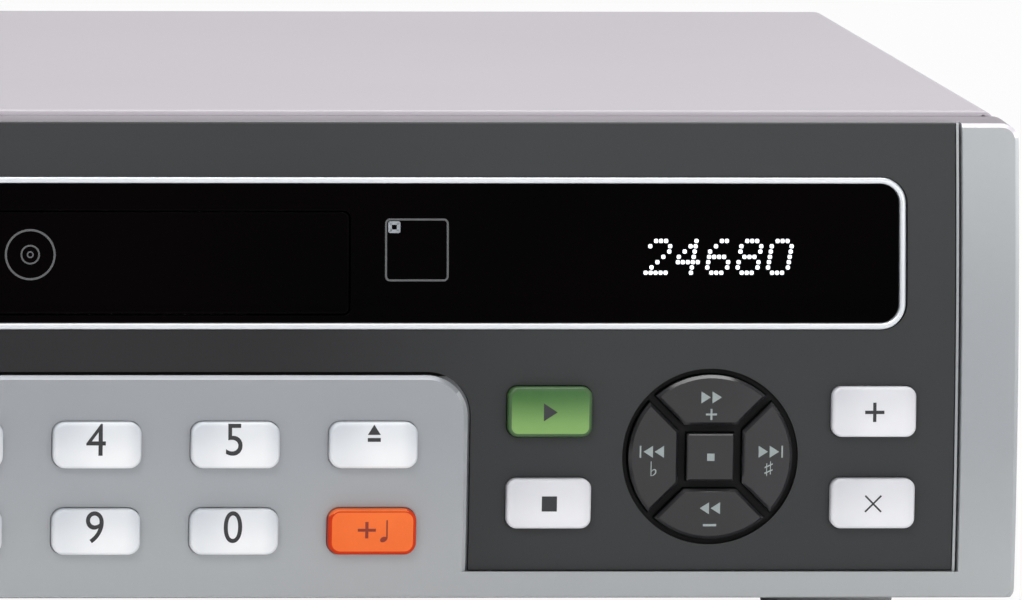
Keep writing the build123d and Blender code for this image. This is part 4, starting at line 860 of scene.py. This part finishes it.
# %% Dots of the display
DIGIT_ROWS = {
    "2": "01110 10001 00001 00010 00100 01000 11111",
    "4": "00010 00110 01010 10010 11111 00010 00010",
    "6": "00110 01000 10000 11110 10001 10001 01110",
    "8": "01110 10001 10001 01110 10001 10001 01110",
    "0": "01110 10001 10001 10001 10001 10001 01110",
}
DOT, COLUMN, ROW, DIGIT_PITCH = 0.9, 1.08, 1.14, 6.6
DISPLAY_X, DISPLAY_Z, SLANT = 149.8, 73.9, 0.2  # middle of the display, lean of a digit per row
SHOWN = "24680"
drop_selection()
bpy.ops.mesh.primitive_plane_add(size=DOT * MM, location=at(0, 0, 0), rotation=(math.pi / 2, 0, 0))
dot = settle("dot")
choose_all(dot)
bpy.ops.mesh.bevel(offset=0.2 * MM, segments=1, affect="VERTICES")
back_to_object()
lit = []
for place, digit in enumerate(SHOWN):
    for row, line in enumerate(DIGIT_ROWS[digit].split()):
        for column, point in enumerate(line):
            if point == "1":
                z = DISPLAY_Z + (3 - row) * ROW
                upright = DISPLAY_X + (place - 2) * DIGIT_PITCH + (column - 2) * COLUMN
                lit.append(copy_of(dot, "dot", upright + (3 - row) * SLANT, LENS_FACE - INK, z))
bpy.data.objects.remove(dot)
display_dots = lean(join("display_digits", lit))
print("lit dots:", len(lit))

# %% Square frame, its lamp and the disc symbol


def flat_ring(name, x, z, width, height, radius, line, depth):
    """A printed outline: a plate with round corners, inset by the width of its line."""
    drop_selection()
    bpy.ops.mesh.primitive_plane_add(size=1, location=at(x, 0, z), rotation=(math.pi / 2, 0, 0))
    piece = bpy.context.object
    piece.scale = (width * MM, height * MM, 1)
    piece = settle(name)
    choose_all(piece)
    bpy.ops.mesh.bevel(offset=radius * MM, segments=10, affect="VERTICES")
    bpy.ops.mesh.select_all(action="SELECT")
    bpy.ops.mesh.inset(thickness=line * MM, depth=0)
    bpy.ops.mesh.delete(type="FACE")
    back_to_object()
    piece.data.transform(Matrix.Translation(Vector((0, depth - INK, 0)) * MM))
    return lean(piece)


square_frame = flat_ring("square_frame", 84.2, 75.35, 13.8, 13.5, 1.1, 0.42, LENS_FACE)
frame_lamp = flat_ring("frame_lamp", 79.3, 80.25, 2.6, 2.5, 0.4, 0.75, LENS_FACE - INK)
disc_rings = [
    flat_ring("disc_symbol", 0.5, 74.3, size, size, size / 2 - 0.01, line, LENS_FACE)
    for size, line in ((11.0, 0.45), (4.2, 0.35), (1.5, 0.3))
]
disc_symbol = join("disc_symbol", disc_rings)
print("printed outlines are in place")

# %% [markdown]
# ## Shader maths as plain expressions
# A finish is a Principled shader whose colour, roughness and bump vary a little over the
# surface. `Wire` wraps one socket, so that sums of sockets read like sums of numbers. `Nodes`
# is the node tree of a material or of the world, and its method `node` adds any other node from
# its type, its settings and its sockets.

# %% Wires and finishes


class Wire:
    """One output socket of a node, for use in sums."""

    def __init__(self, nodes, socket):
        self.nodes, self.socket = nodes, socket

    def maths(self, operation, *values):
        return self.nodes.node("ShaderNodeMath", {"operation": operation}, dict(enumerate(values)))

    def __add__(self, other):
        return self.maths("ADD", self, other)

    def __radd__(self, other):
        return self.maths("ADD", other, self)

    def __sub__(self, other):
        return self.maths("SUBTRACT", self, other)

    def __rsub__(self, other):
        return self.maths("SUBTRACT", other, self)

    def __mul__(self, other):
        return self.maths("MULTIPLY", self, other)

    def __rmul__(self, other):
        return self.maths("MULTIPLY", other, self)

    def __abs__(self):
        return self.maths("ABSOLUTE", self)

    def fraction(self):
        """What is left above the last whole number: it starts again at 0 with each step."""
        return self.maths("FRACT", self)


def linear(red, green, blue):
    """A colour as it is seen (0 to 255) in the values that the shader wants."""
    part = lambda c: c / 12.92 if c <= 0.04045 else ((c + 0.055) / 1.055) ** 2.4
    return (*(part(c / 255) for c in (red, green, blue)), 1.0)


class Nodes:
    """The nodes of one material or of the world."""

    def __init__(self, tree):
        self.tree = tree

    def feed(self, socket, value):
        if isinstance(value, Wire):
            self.tree.links.new(value.socket, socket)
        else:
            socket.default_value = value

    def node(self, kind, settings=None, sockets=None, output=0):
        made = self.tree.nodes.new(kind)
        for name, value in (settings or {}).items():
            setattr(made, name, value)
        for name, value in (sockets or {}).items():
            self.feed(made.inputs[name], value)
        return Wire(self, made.outputs[output])


class Finish(Nodes):
    """A material with one Principled shader."""

    def __init__(self, name, colour, roughness, **sockets):
        self.material = bpy.data.materials.new(name)
        self.material.use_nodes = True
        super().__init__(self.material.node_tree)
        self.shader = self.tree.nodes["Principled BSDF"]
        self.place = self.node("ShaderNodeTexCoord", output="Object")
        self.put(**{"Base Color": linear(*colour), "Roughness": roughness}, **sockets)

    def put(self, **sockets):
        for name, value in sockets.items():
            self.feed(self.shader.inputs[name], value)

    def noise(self, size, detail=2.0):
        """Noise from 0 to 1 whose blots are about `size` millimetres wide."""
        return self.node(
            "ShaderNodeTexNoise", {}, {"Vector": self.place, "Scale": 1 / (size * MM), "Detail": detail}
        )

    def part(self, axis):
        """One coordinate of the surface: 0 across, 1 in depth, 2 in height."""
        return self.node("ShaderNodeSeparateXYZ", {}, {0: self.place}, output=axis)

    def height(self, low, high):
        """0 at one height of the drawing and 1 at the other."""
        return self.ramp(self.part(2), (low + FLOOR_Z) * MM, (high + FLOOR_Z) * MM)

    def across(self, left, right):
        return self.ramp(self.part(0), left * MM, right * MM)

    def within(self, value, start, pitch):
        """0 to 1 inside each step of a row of keys that repeats at one pitch."""
        return ((value - start * MM) * (1 / (pitch * MM))).fraction()

    def ramp(self, value, low, high):
        """Turns `value` between low and high into 0 to 1."""
        return self.node(
            "ShaderNodeMapRange", {"interpolation_type": "SMOOTHSTEP"},
            {"Value": value, "From Min": low, "From Max": high},
        )

    def mix(self, factor, first, second):
        return self.node(
            "ShaderNodeMix", {"data_type": "RGBA"},
            {0: factor, 6: linear(*first) if isinstance(first, tuple) else first,
             7: linear(*second) if isinstance(second, tuple) else second},
            output=2,
        )

    def tone(self, factor, first, second):
        self.put(**{"Base Color": self.mix(factor, first, second)})

    def roughen(self, value):
        self.put(Roughness=value)

    def bump(self, height, distance):
        heights = {"Height": height, "Distance": distance * MM, "Strength": 1.0}
        self.put(Normal=self.node("ShaderNodeBump", {}, heights))


def shifted(colour, by):
    """The same colour, a few steps of 255 lighter or darker."""
    return tuple(min(max(c + by, 0), 255) for c in colour)


print("shader tools are ready")

# %% [markdown]
# ## Finishes of the outside
# The silver is paint with fine aluminium flakes, so it is partly metallic and its flakes show
# as a very fine change of tone. The dark plate has a spark-eroded grain. The keys are smoother
# than both. The sheet is powder-coated, which leaves a fine orange-peel skin.
# Light and shade are also painted into the tones of the silver, the dark plate, the keys and the cover's
# front rim.

# %% Silver, dark plate, lens and trim


def painted_front_light(paint, flakes, clouds):
    """Painted light and shade: a little lighter at the top and at the foot of the front than between,
    and to the right, mixed with the paint's own flakes and clouds.
    """
    level = paint.height(50, 103) * 0.35 + (1 - paint.height(2, 40)) * 0.38
    return flakes * 0.3 + level + paint.across(90, 200) * 0.15 + clouds * 0.1


def painted_top_light(paint, flakes, _clouds):
    """Painted light and shade on the top of the moulding: lighter above the cheeks and towards the
    cover, darker towards the plate.
    """
    aside = paint.ramp(abs(paint.part(0)), 199 * MM, 203 * MM)
    deep = paint.ramp(paint.part(1), (3 + FRONT_Y) * MM, (17 + FRONT_Y) * MM)
    return aside * 0.75 + deep * (1 - aside) * 0.8 + flakes * 0.1


def flake_paint(name, low, high, shade=painted_front_light):
    """Silver paint with aluminium flakes; `shade` mixes its two tones over the surface, with the flakes
    and with painted light and shade.
    """
    paint = Finish(name, low, 0.36, Metallic=0.34)
    flakes, clouds = paint.noise(0.12, 1), paint.noise(60, 2)
    paint.tone(shade(paint, flakes, clouds), low, high)
    paint.roughen(0.28 + flakes * 0.1 + clouds * 0.06)
    paint.bump(paint.noise(0.35, 3), 0.006)
    return paint


# The silver of the front carries painted light and shade: lighter at the top, at the foot and to the
# right.
silver = flake_paint("silver_paint", (150, 153, 159), (180, 183, 184))
# A darker copy of the silver as painted shade on the moulding's top faces, lighter above the cheeks and
# towards the cover.
silver_top_painted_shade = flake_paint("silver_paint_above_painted_shade", (132, 126, 133), (166, 159, 167), painted_top_light)
# A lighter copy of the silver as a painted highlight on the chamfer down the sides of the keypad panel.
silver_side_highlight = flake_paint("silver_paint_side_highlight", (190, 193, 198), (206, 209, 210))
# A lighter copy of the silver as a painted highlight along the chamfer on top of the cheeks.
silver_edge_highlight = flake_paint("silver_paint_edge_highlight", (226, 221, 229), (240, 236, 243))

dark = Finish("dark_grained_plastic", (46, 48, 50), 0.45, **{"Specular IOR Level": 0.35})
grain = dark.noise(0.45, 4)
# Painted light and shade: the plate is darker on the left and below the window, lighter to the right and
# towards the top; the grain is its own.
right, above = dark.across(45, 125), dark.height(56, 100)
dark.tone(
    right * 0.55 + above * (1 - right) * 0.42 + above * 0.05 + grain * 0.15 + dark.noise(45, 3) * 0.1,
    (17, 16, 20), (57, 59, 60),
)
dark.roughen(0.42 + grain * 0.14)
dark.bump(grain, 0.012)

key_dark = Finish("dark_key_plastic", (24, 24, 26), 0.22, **{
    "Coat Weight": 0.3, "Coat Roughness": 0.16, "Specular IOR Level": 0.45,
})
skin = key_dark.noise(0.3, 3)
# Painted light: the navigation keys are painted lighter towards the right of the ring.
key_dark.tone(
    skin * 0.2 + key_dark.noise(8, 2) * 0.3 + key_dark.across(150, 160) * 0.5, (20, 20, 23), (34, 33, 37)
)
key_dark.roughen(0.2 + skin * 0.08)
key_dark.bump(skin, 0.004)

# Painted shadow: a near-black finish put where only shade falls, on the floor of the navigation recess
# and in the slit round the keypad panel.
painted_groove_shadow = Finish("painted_groove_shadow", (12, 12, 13), 0.5, **{"Specular IOR Level": 0.2})
grain = painted_groove_shadow.noise(0.5, 3)
painted_groove_shadow.tone(grain, (8, 8, 9), (16, 16, 17))
painted_groove_shadow.roughen(0.45 + grain * 0.15)

lens_black = Finish("window_black", (3, 2, 2), 0.06, **{"Specular IOR Level": 0.04})
lens_black.tone(lens_black.noise(60, 2), (1, 1, 1), (5, 2, 3))
lens_black.roughen(0.04 + lens_black.noise(0.8, 3) * 0.05)
lens_black.bump(lens_black.noise(30, 2), 0.01)

chrome = Finish("bright_trim", (226, 230, 234), 0.3, Metallic=0.55)
chrome.tone(chrome.noise(25, 2), (220, 225, 230), (232, 235, 239))
chrome.roughen(0.26 + chrome.noise(1.5, 3) * 0.1)
chrome.bump(chrome.noise(3, 2), 0.003)
print("finishes of the front:", [f.material.name for f in (silver, dark, lens_black, chrome)])

# %% Keys and prints


def key_plastic(name, low, high, roughness=0.34, specular=0.5, shade=None):
    """Moulded key: a soft change of tone and a skin too fine to see as a pattern; `shade`, where given,
    paints light and shade into the tone instead.
    """
    finish = Finish(name, high, roughness, **{"Specular IOR Level": specular})
    skin = finish.noise(0.3, 3)
    finish.tone(shade(finish) if shade else finish.noise(9, 2) * 0.7 + skin * 0.3, low, high)
    finish.roughen(roughness - 0.04 + skin * 0.1)
    finish.bump(skin, 0.005)
    return finish


def painted_key_shade(start, pitch):
    """Painted shade for a block of keys: each cap is painted darker towards its top and its two sides.
    """

    def shade(finish):
        sideways = finish.part(0)
        if start[0] > 0:  # the same on both sides of the machine
            sideways = abs(sideways)
        above = finish.ramp(finish.within(finish.part(2), start[1] + FLOOR_Z, pitch[1]), 0.3, 0.78)
        place = finish.within(sideways, start[0], pitch[0])
        left, right = finish.ramp(place, 0.55, 0.2), finish.ramp(place, 0.68, 0.86)
        return above * 0.5 + left * 0.4 + right * 0.6 + finish.noise(6, 2) * 0.1

    return shade


def green_painted_shade(finish):
    """Painted shade: the start key is darker towards its top."""
    middle = FUNCTION_Z[0]
    return finish.height(middle - 5, middle + 5) * 0.9 + finish.noise(4, 2) * 0.1


# The white keys wear painted shade: each cap is darker towards its top and its sides.
number_silver = key_plastic(
    "number_key_silver", (246, 247, 249), (198, 203, 210), shade=painted_key_shade((-89.7, 5.3), (29.9, 18.8))
)
key_white = key_plastic(
    "key_white", (236, 236, 240), (200, 201, 207), shade=painted_key_shade((95.2, 10.75), (35.2, 19.9))
)
key_orange = key_plastic("key_orange", (236, 98, 36), (250, 122, 56), specular=0.25)
orange_rim = key_plastic("orange_rim", (192, 46, 12), (210, 60, 16), specular=0.15)
green_rim = key_plastic("green_rim", (52, 84, 46), (66, 98, 56))
key_green = key_plastic("key_green", (130, 172, 96), (36, 90, 30), 0.32, shade=green_painted_shade)


def ink(name, colour):
    """Screen-printed ink: slightly uneven at its finest."""
    finish = Finish(name, colour, 0.5)
    finish.tone(finish.noise(0.25, 2), shifted(colour, -8), shifted(colour, 8))
    finish.roughen(0.45 + finish.noise(0.3, 2) * 0.15)
    return finish


white_ink = ink("pale_ink", (150, 160, 160))
grey_ink = ink("grey_ink", (84, 86, 88))
digit_ink = ink("digit_ink", (40, 41, 44))
lamp_ink = ink("lamp_ink", (150, 156, 162))
rust_ink = ink("rust_ink", (138, 40, 16))
display_light = Finish("display_light", (235, 240, 245), 0.4, **{"Emission Strength": 0.7})
glow = display_light.noise(0.6, 1)
display_light.put(**{"Emission Color": display_light.mix(glow, (225, 232, 240), (250, 252, 255))})
display_light.tone(glow, (225, 232, 240), (250, 252, 255))
print("finishes of the keys are ready")

# %% Sheet, rubber and metal


def powder_coat(name, low, high):
    paint = Finish(name, low, 0.5)
    peel = paint.noise(0.9, 4)
    paint.tone(paint.noise(120, 3) * 0.6 + peel * 0.4, low, high)
    paint.roughen(0.44 + peel * 0.16)
    paint.bump(peel, 0.015)
    return paint


cover_paint = powder_coat("cover_powder_coat", (188, 183, 190), (197, 192, 199))
# A lighter copy of the powder coat for the sheet's front rim: painted light.
cover_edge_painted_light = powder_coat("cover_front_edge_painted_light", (201, 195, 202), (210, 204, 211))

zinc = Finish("zinc_sheet", (176, 180, 180), 0.4, Metallic=0.7)
cells = {"Vector": zinc.place, "Scale": 1 / (5 * MM)}
spangle = zinc.node("ShaderNodeTexVoronoi", {}, cells, output="Color")
spangle = zinc.node("ShaderNodeSeparateColor", {}, {0: spangle})
zinc.tone(spangle * 0.4 + zinc.noise(0.4, 3) * 0.6, (178, 182, 183), (194, 197, 197))
zinc.roughen(0.36 + spangle * 0.05 + zinc.noise(0.5, 2) * 0.08)
zinc.bump(zinc.noise(0.5, 3), 0.006)

foot_grey = key_plastic("foot_grey", (176, 178, 180), (190, 192, 194), 0.5)
rubber = Finish("foot_rubber", (38, 37, 36), 0.8)
rubber.tone(rubber.noise(1.2, 4), (30, 29, 29), (47, 46, 45))
rubber.roughen(0.72 + rubber.noise(0.8, 3) * 0.2)
rubber.bump(rubber.noise(0.5, 4), 0.03)


def metal(name, colour, roughness, grain=0.3, metallic=1.0):
    finish = Finish(name, colour, roughness, Metallic=metallic)
    lines = finish.noise(grain, 3)
    finish.tone(lines, shifted(colour, -10), shifted(colour, 8))
    finish.roughen(roughness - 0.05 + lines * 0.14)
    finish.bump(lines, 0.004)
    return finish


nickel = metal("jack_nickel", (205, 203, 197), 0.2)
screw_steel = metal("screw_steel", (170, 172, 172), 0.3)
motor_steel = metal("motor_steel", (150, 152, 153), 0.35, 0.8)
knob_silver = metal("knob_silver", (186, 190, 192), 0.34, 0.2, 0.5)


def moulded(name, colour, roughness=0.5, size=0.6):
    finish = Finish(name, colour, roughness)
    skin = finish.noise(size, 4)
    finish.tone(skin, shifted(colour, -7), shifted(colour, 7))
    finish.roughen(roughness - 0.05 + skin * 0.14)
    finish.bump(skin, 0.012)
    return finish


black_plastic = moulded("black_plastic", (30, 30, 31))
tray_plastic = moulded("tray_plastic", (44, 45, 47), 0.42, 0.4)
gear_acetal = moulded("gear_acetal", (226, 224, 214), 0.4, 1.0)
belt_rubber = moulded("belt_rubber", (24, 24, 24), 0.75, 0.8)
ring_white = moulded("ring_white", (228, 228, 224), 0.38, 0.4)
ring_red = moulded("ring_red", (176, 40, 34), 0.38, 0.4)
ring_yellow = moulded("ring_yellow", (226, 180, 44), 0.38, 0.4)
board = Finish("board_laminate", (38, 84, 52), 0.42)
bricks = {"Vector": board.place, "Scale": 1 / (3 * MM)}
weave = board.node("ShaderNodeTexBrick", {"offset": 0.5}, bricks, output="Fac")
board.tone(weave * 0.3 + board.noise(2, 3) * 0.7, (30, 72, 44), (48, 98, 62))
board.roughen(0.36 + board.noise(0.5, 2) * 0.14)
board.bump(board.noise(0.5, 3), 0.01)
print("materials in all:", len(bpy.data.materials))

# %% [markdown]
# ## Which finish each piece wears, and what it moves with
# A modelled piece rides on a CAD body and stands in for a CAD node. The CAD nodes that are not
# replaced keep their own mesh and only take a finish.

# %% Dress the modelled pieces


def dress(piece, body, finish, replaced=None):
    piece.data.materials.clear()
    piece.data.materials.append(finish.material)
    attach(piece, body)
    if replaced:
        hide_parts(replaced)


dress(moulding, "root", silver, "front_bezel")
dress(plate, "root", dark, "fascia")
dress(trim, "root", chrome, "window_trim")
dress(lens, "root", lens_black, "window_lens")
dress(door, "tray", lens_black, "tray_door")
for name, key in keys.items():
    finish, slot = number_silver, "key_white"
    if name.startswith(("arc", "enter")):
        finish, slot = key_dark, "dark_grey_plastic"
    elif name in ("stop_key", "reserve_key", "cancel_key", "power_key"):
        finish = key_white
    elif name == "new_song_key":
        finish, slot = key_orange, "key_orange"
    elif name == "start_key":
        finish, slot = key_green, "key_green"
    dress(key, name, finish, name)


def repaint(piece, finish, wanted):
    """Gives a second finish to the faces for whose middle and normal `wanted` is true."""
    piece.data.materials.append(finish.material)
    for face in piece.data.polygons:
        if wanted(*drawn(face.center), face.normal):
            face.material_index = len(piece.data.materials) - 1


RIM_WIDTH = 0.74


def outside_face(place, size, radius):
    """Test for the rim of a cap, near its outline, and for what is behind the front."""

    def wanted(x, y, z, normal):
        across = max(abs(x - place[0]) - size[0] / 2 + radius, 0)
        above = max(abs(z - place[1]) - size[1] / 2 + radius, 0)
        return math.hypot(across, above) - radius > -RIM_WIDTH or y > 2

    return wanted


on_song_rim = outside_face((NUMBER_X[5], NUMBER_Z[1]), NUMBER_SIZE, NUMBER_CORNER)
on_start_rim = outside_face(FUNCTION_PLACES[0], FUNCTION_SIZE, FUNCTION_CORNER)
# The orange key's rim is a deeper red, its own colour; faces that look up and not to the right keep the
# lighter orange as painted light from above.
repaint(keys["new_song_key"], orange_rim, lambda x, y, z, normal: (
    on_song_rim(x, y, z, normal) and (normal.z < 0.3 or normal.x > 0.2 or y > 2)
))
repaint(keys["start_key"], green_rim, on_start_rim)
# Painted shade: the top faces of the moulding wear the darker copy of the silver.
repaint(moulding, silver_top_painted_shade, lambda x, y, z, normal: normal.z > 0.9 and z > 100)
# Painted shadow on the floor of the recess round the navigation keys.
repaint(plate, painted_groove_shadow, lambda x, y, z, normal: (
    math.hypot(x - NAV_X, z - NAV_Z) < NAV_R + 0.05 and y - sag(z) > 0.25
))
for name, legend in legends.items():
    light = name.startswith(("arc", "enter"))
    colour = white_ink if light else rust_ink if name == "new_song_key" else digit_ink
    dress(legend, name, colour)
for number, piece in enumerate(knobs, 1):
    dress(piece, f"knob_{number}", knob_silver, f"knob_{number}")
dress(jacks, "root", nickel, "mic_jacks")
dress(jack_holders, "root", black_plastic, "mic_jacks")
dress(cover, "root", cover_paint, "top_cover")
dress(screws, "root", screw_steel, "screws")
dress(feet, "root", foot_grey, "feet")
dress(socket_block, "root", black_plastic, "rca_jacks")
dress(shells, "root", nickel)
for ring, finish in zip(rings, (ring_red, ring_white, ring_yellow)):
    dress(ring, "root", finish)
dress(inlet, "root", black_plastic, "mains_inlet")
dress(pins, "root", nickel)
dress(display_dots, "root", display_light)
dress(square_frame, "root", grey_ink)
dress(frame_lamp, "root", lamp_ink)
dress(disc_symbol, "tray", grey_ink)
repaint(feet, rubber, lambda x, y, z, normal: z < -6.9)
# Painted highlight: a lighter silver on the chamfer along the top front edge of each cheek.
repaint(moulding, silver_edge_highlight, lambda x, y, z, normal: (
    abs(x) > 201 and z > 98 and 0.3 < normal.z < 0.9 and normal.y < -0.3
))
# Painted highlight: a lighter silver on the chamfer down each side of the keypad panel.
repaint(moulding, silver_side_highlight, lambda x, y, z, normal: (
    93 < abs(x) < 96 and 5 < z < 48.6 and abs(normal.x) > 0.3 and normal.y < -0.3
))
# Painted shadow on the walls of the slit between the keypad panel and the dark plate.
repaint(moulding, painted_groove_shadow, lambda x, y, z, normal: (
    abs(x) < 96.5 and 6 < z < 50 and y > 0.3 and (normal.y < -0.9 and z > 48 or abs(normal.y) < 0.1)
    and (z > 47.5 or abs(x) > 94.5)
))
# Painted light: the front rim of the cover wears the lighter copy of its coat.
repaint(cover, cover_edge_painted_light, lambda x, y, z, normal: y < 20 and z > 101 and normal.y < -0.3)

# %% Dress the CAD nodes that are kept
KEPT = {
    zinc: ("chassis_base", "rear_panel", "clamp_bridge"),
    tray_plastic: ("disc_tray",),
    black_plastic: ("loader_frame", "clamp_puck", "lift_frame", "lift_cam", "pickup_unit", "turntable"),
    gear_acetal: ("tray_gear", "pulley_gear", "motor_pulley", "feed_gear"),
    belt_rubber: ("load_belt",),
    rubber: ("deck_dampers",),
    motor_steel: ("load_motor", "spindle_motor", "deck_plate"),
    board: ("key_board", "display_module", "mic_board", "main_board", "power_board"),
}
for finish, nodes in KEPT.items():
    for name in nodes:
        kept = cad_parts[name]
        kept.data.materials.clear()
        kept.data.materials.append(finish.material)
print("CAD nodes kept:", sum(len(nodes) for nodes in KEPT.values()))

# %% [markdown]
# ## Floor, light and camera
# The floor is plain and pale. Where the camera sees it directly it shines white by itself for
# the most part, and the rest takes light and shadow, so that the object's shadow still shows a
# little in it. Five soft lamps and an even sky light the object: one in front, a weaker one low
# at the right, a long one overhead, one at the right side and one behind. The sky is white where
# the camera sees it, about a third as strong as light, and a little stronger than that in what
# shiny faces mirror.

# %% Floor and light
drop_selection()
bpy.ops.mesh.primitive_plane_add(size=60, location=(0, 0, 0))
floor = settle("studio_floor")
choose_all(floor)
bpy.ops.mesh.subdivide(number_cuts=1)
back_to_object()
floor_finish = Finish("floor_white", (240, 240, 240), 0.7)
seen = floor_finish.node("ShaderNodeLightPath", output="Is Camera Ray")
glow = floor_finish.node("ShaderNodeEmission", {}, {"Color": (1, 1, 1, 1), "Strength": 1.0})
painted = Wire(floor_finish, floor_finish.shader.outputs[0])
blend = floor_finish.node("ShaderNodeMixShader", {}, {0: seen * 0.93, 1: painted, 2: glow})
floor_finish.feed(floor_finish.tree.nodes["Material Output"].inputs["Surface"], blend)
floor.data.materials.append(floor_finish.material)

world = bpy.data.worlds.new("studio")
bpy.context.scene.world = world
world.use_nodes = True
sky = Nodes(world.node_tree)
background = sky.tree.nodes["Background"]
sky.feed(background.inputs["Color"], (1, 1, 1, 1))
mirrored = sky.node("ShaderNodeLightPath", output="Is Glossy Ray") * 0.07 + 0.35
seen = sky.node("ShaderNodeLightPath", output="Is Camera Ray") * 0.65
sky.feed(background.inputs["Strength"], seen + mirrored)


def lamp(name, place, target, size, power, width=None):
    drop_selection()
    bpy.ops.object.light_add(type="AREA", location=place)
    light = bpy.context.object
    light.name = name
    light.data.shape, light.data.size, light.data.energy = "DISK", size, power
    if width:
        light.data.shape, light.data.size_y = "RECTANGLE", width
    light.rotation_euler = (Vector(target) - Vector(place)).to_track_quat("-Z", "Y").to_euler()
    light.visible_camera = False


lamp("lamp_front", (-0.7, -2.2, 1.5), (0, 0, 0.05), 1.4, 23)
lamp("lamp_low", (1.0, -2.2, 0.62), (0, 0, 0.05), 1.1, 7)
lamp("lamp_overhead", (0.1, -0.2, 2.0), (0.1, -0.12, 0.05), 1.8, 21, 0.46)
lamp("lamp_side", (1.6, 0.1, 0.44), (0, 0, 0.06), 0.6, 6, 0.8)
lamp("lamp_rear", (0.9, 1.8, 1.8), (0, 0, 0.05), 1.4, 8)

# %% Camera
YAW, PITCH, ROLL = 0.1194, -0.0855, 0.0105
CAMERA_AT, FOCAL_LENGTH, SENSOR = (-615.27, -6000, 582.597), 991.7, 36
forward = Vector((math.sin(YAW) * math.cos(PITCH), math.cos(YAW) * math.cos(PITCH), math.sin(PITCH)))
level_right = Vector((math.cos(YAW), -math.sin(YAW), 0))
level_up = level_right.cross(forward)
right = level_right * math.cos(ROLL) + level_up * math.sin(ROLL)
up = level_up * math.cos(ROLL) - level_right * math.sin(ROLL)
drop_selection()
bpy.ops.object.camera_add(location=at(*CAMERA_AT))
camera = bpy.context.object
turn = Matrix((right, up, -forward)).transposed()
camera.rotation_euler = turn.to_euler()
camera.data.lens, camera.data.sensor_width = FOCAL_LENGTH, SENSOR
camera.data.sensor_fit = "HORIZONTAL"
camera.data.clip_start, camera.data.clip_end = 0.1, 200
bpy.context.scene.camera = camera
bpy.context.scene.view_settings.view_transform = "Standard"
print("camera looks along", tuple(round(v, 3) for v in forward))
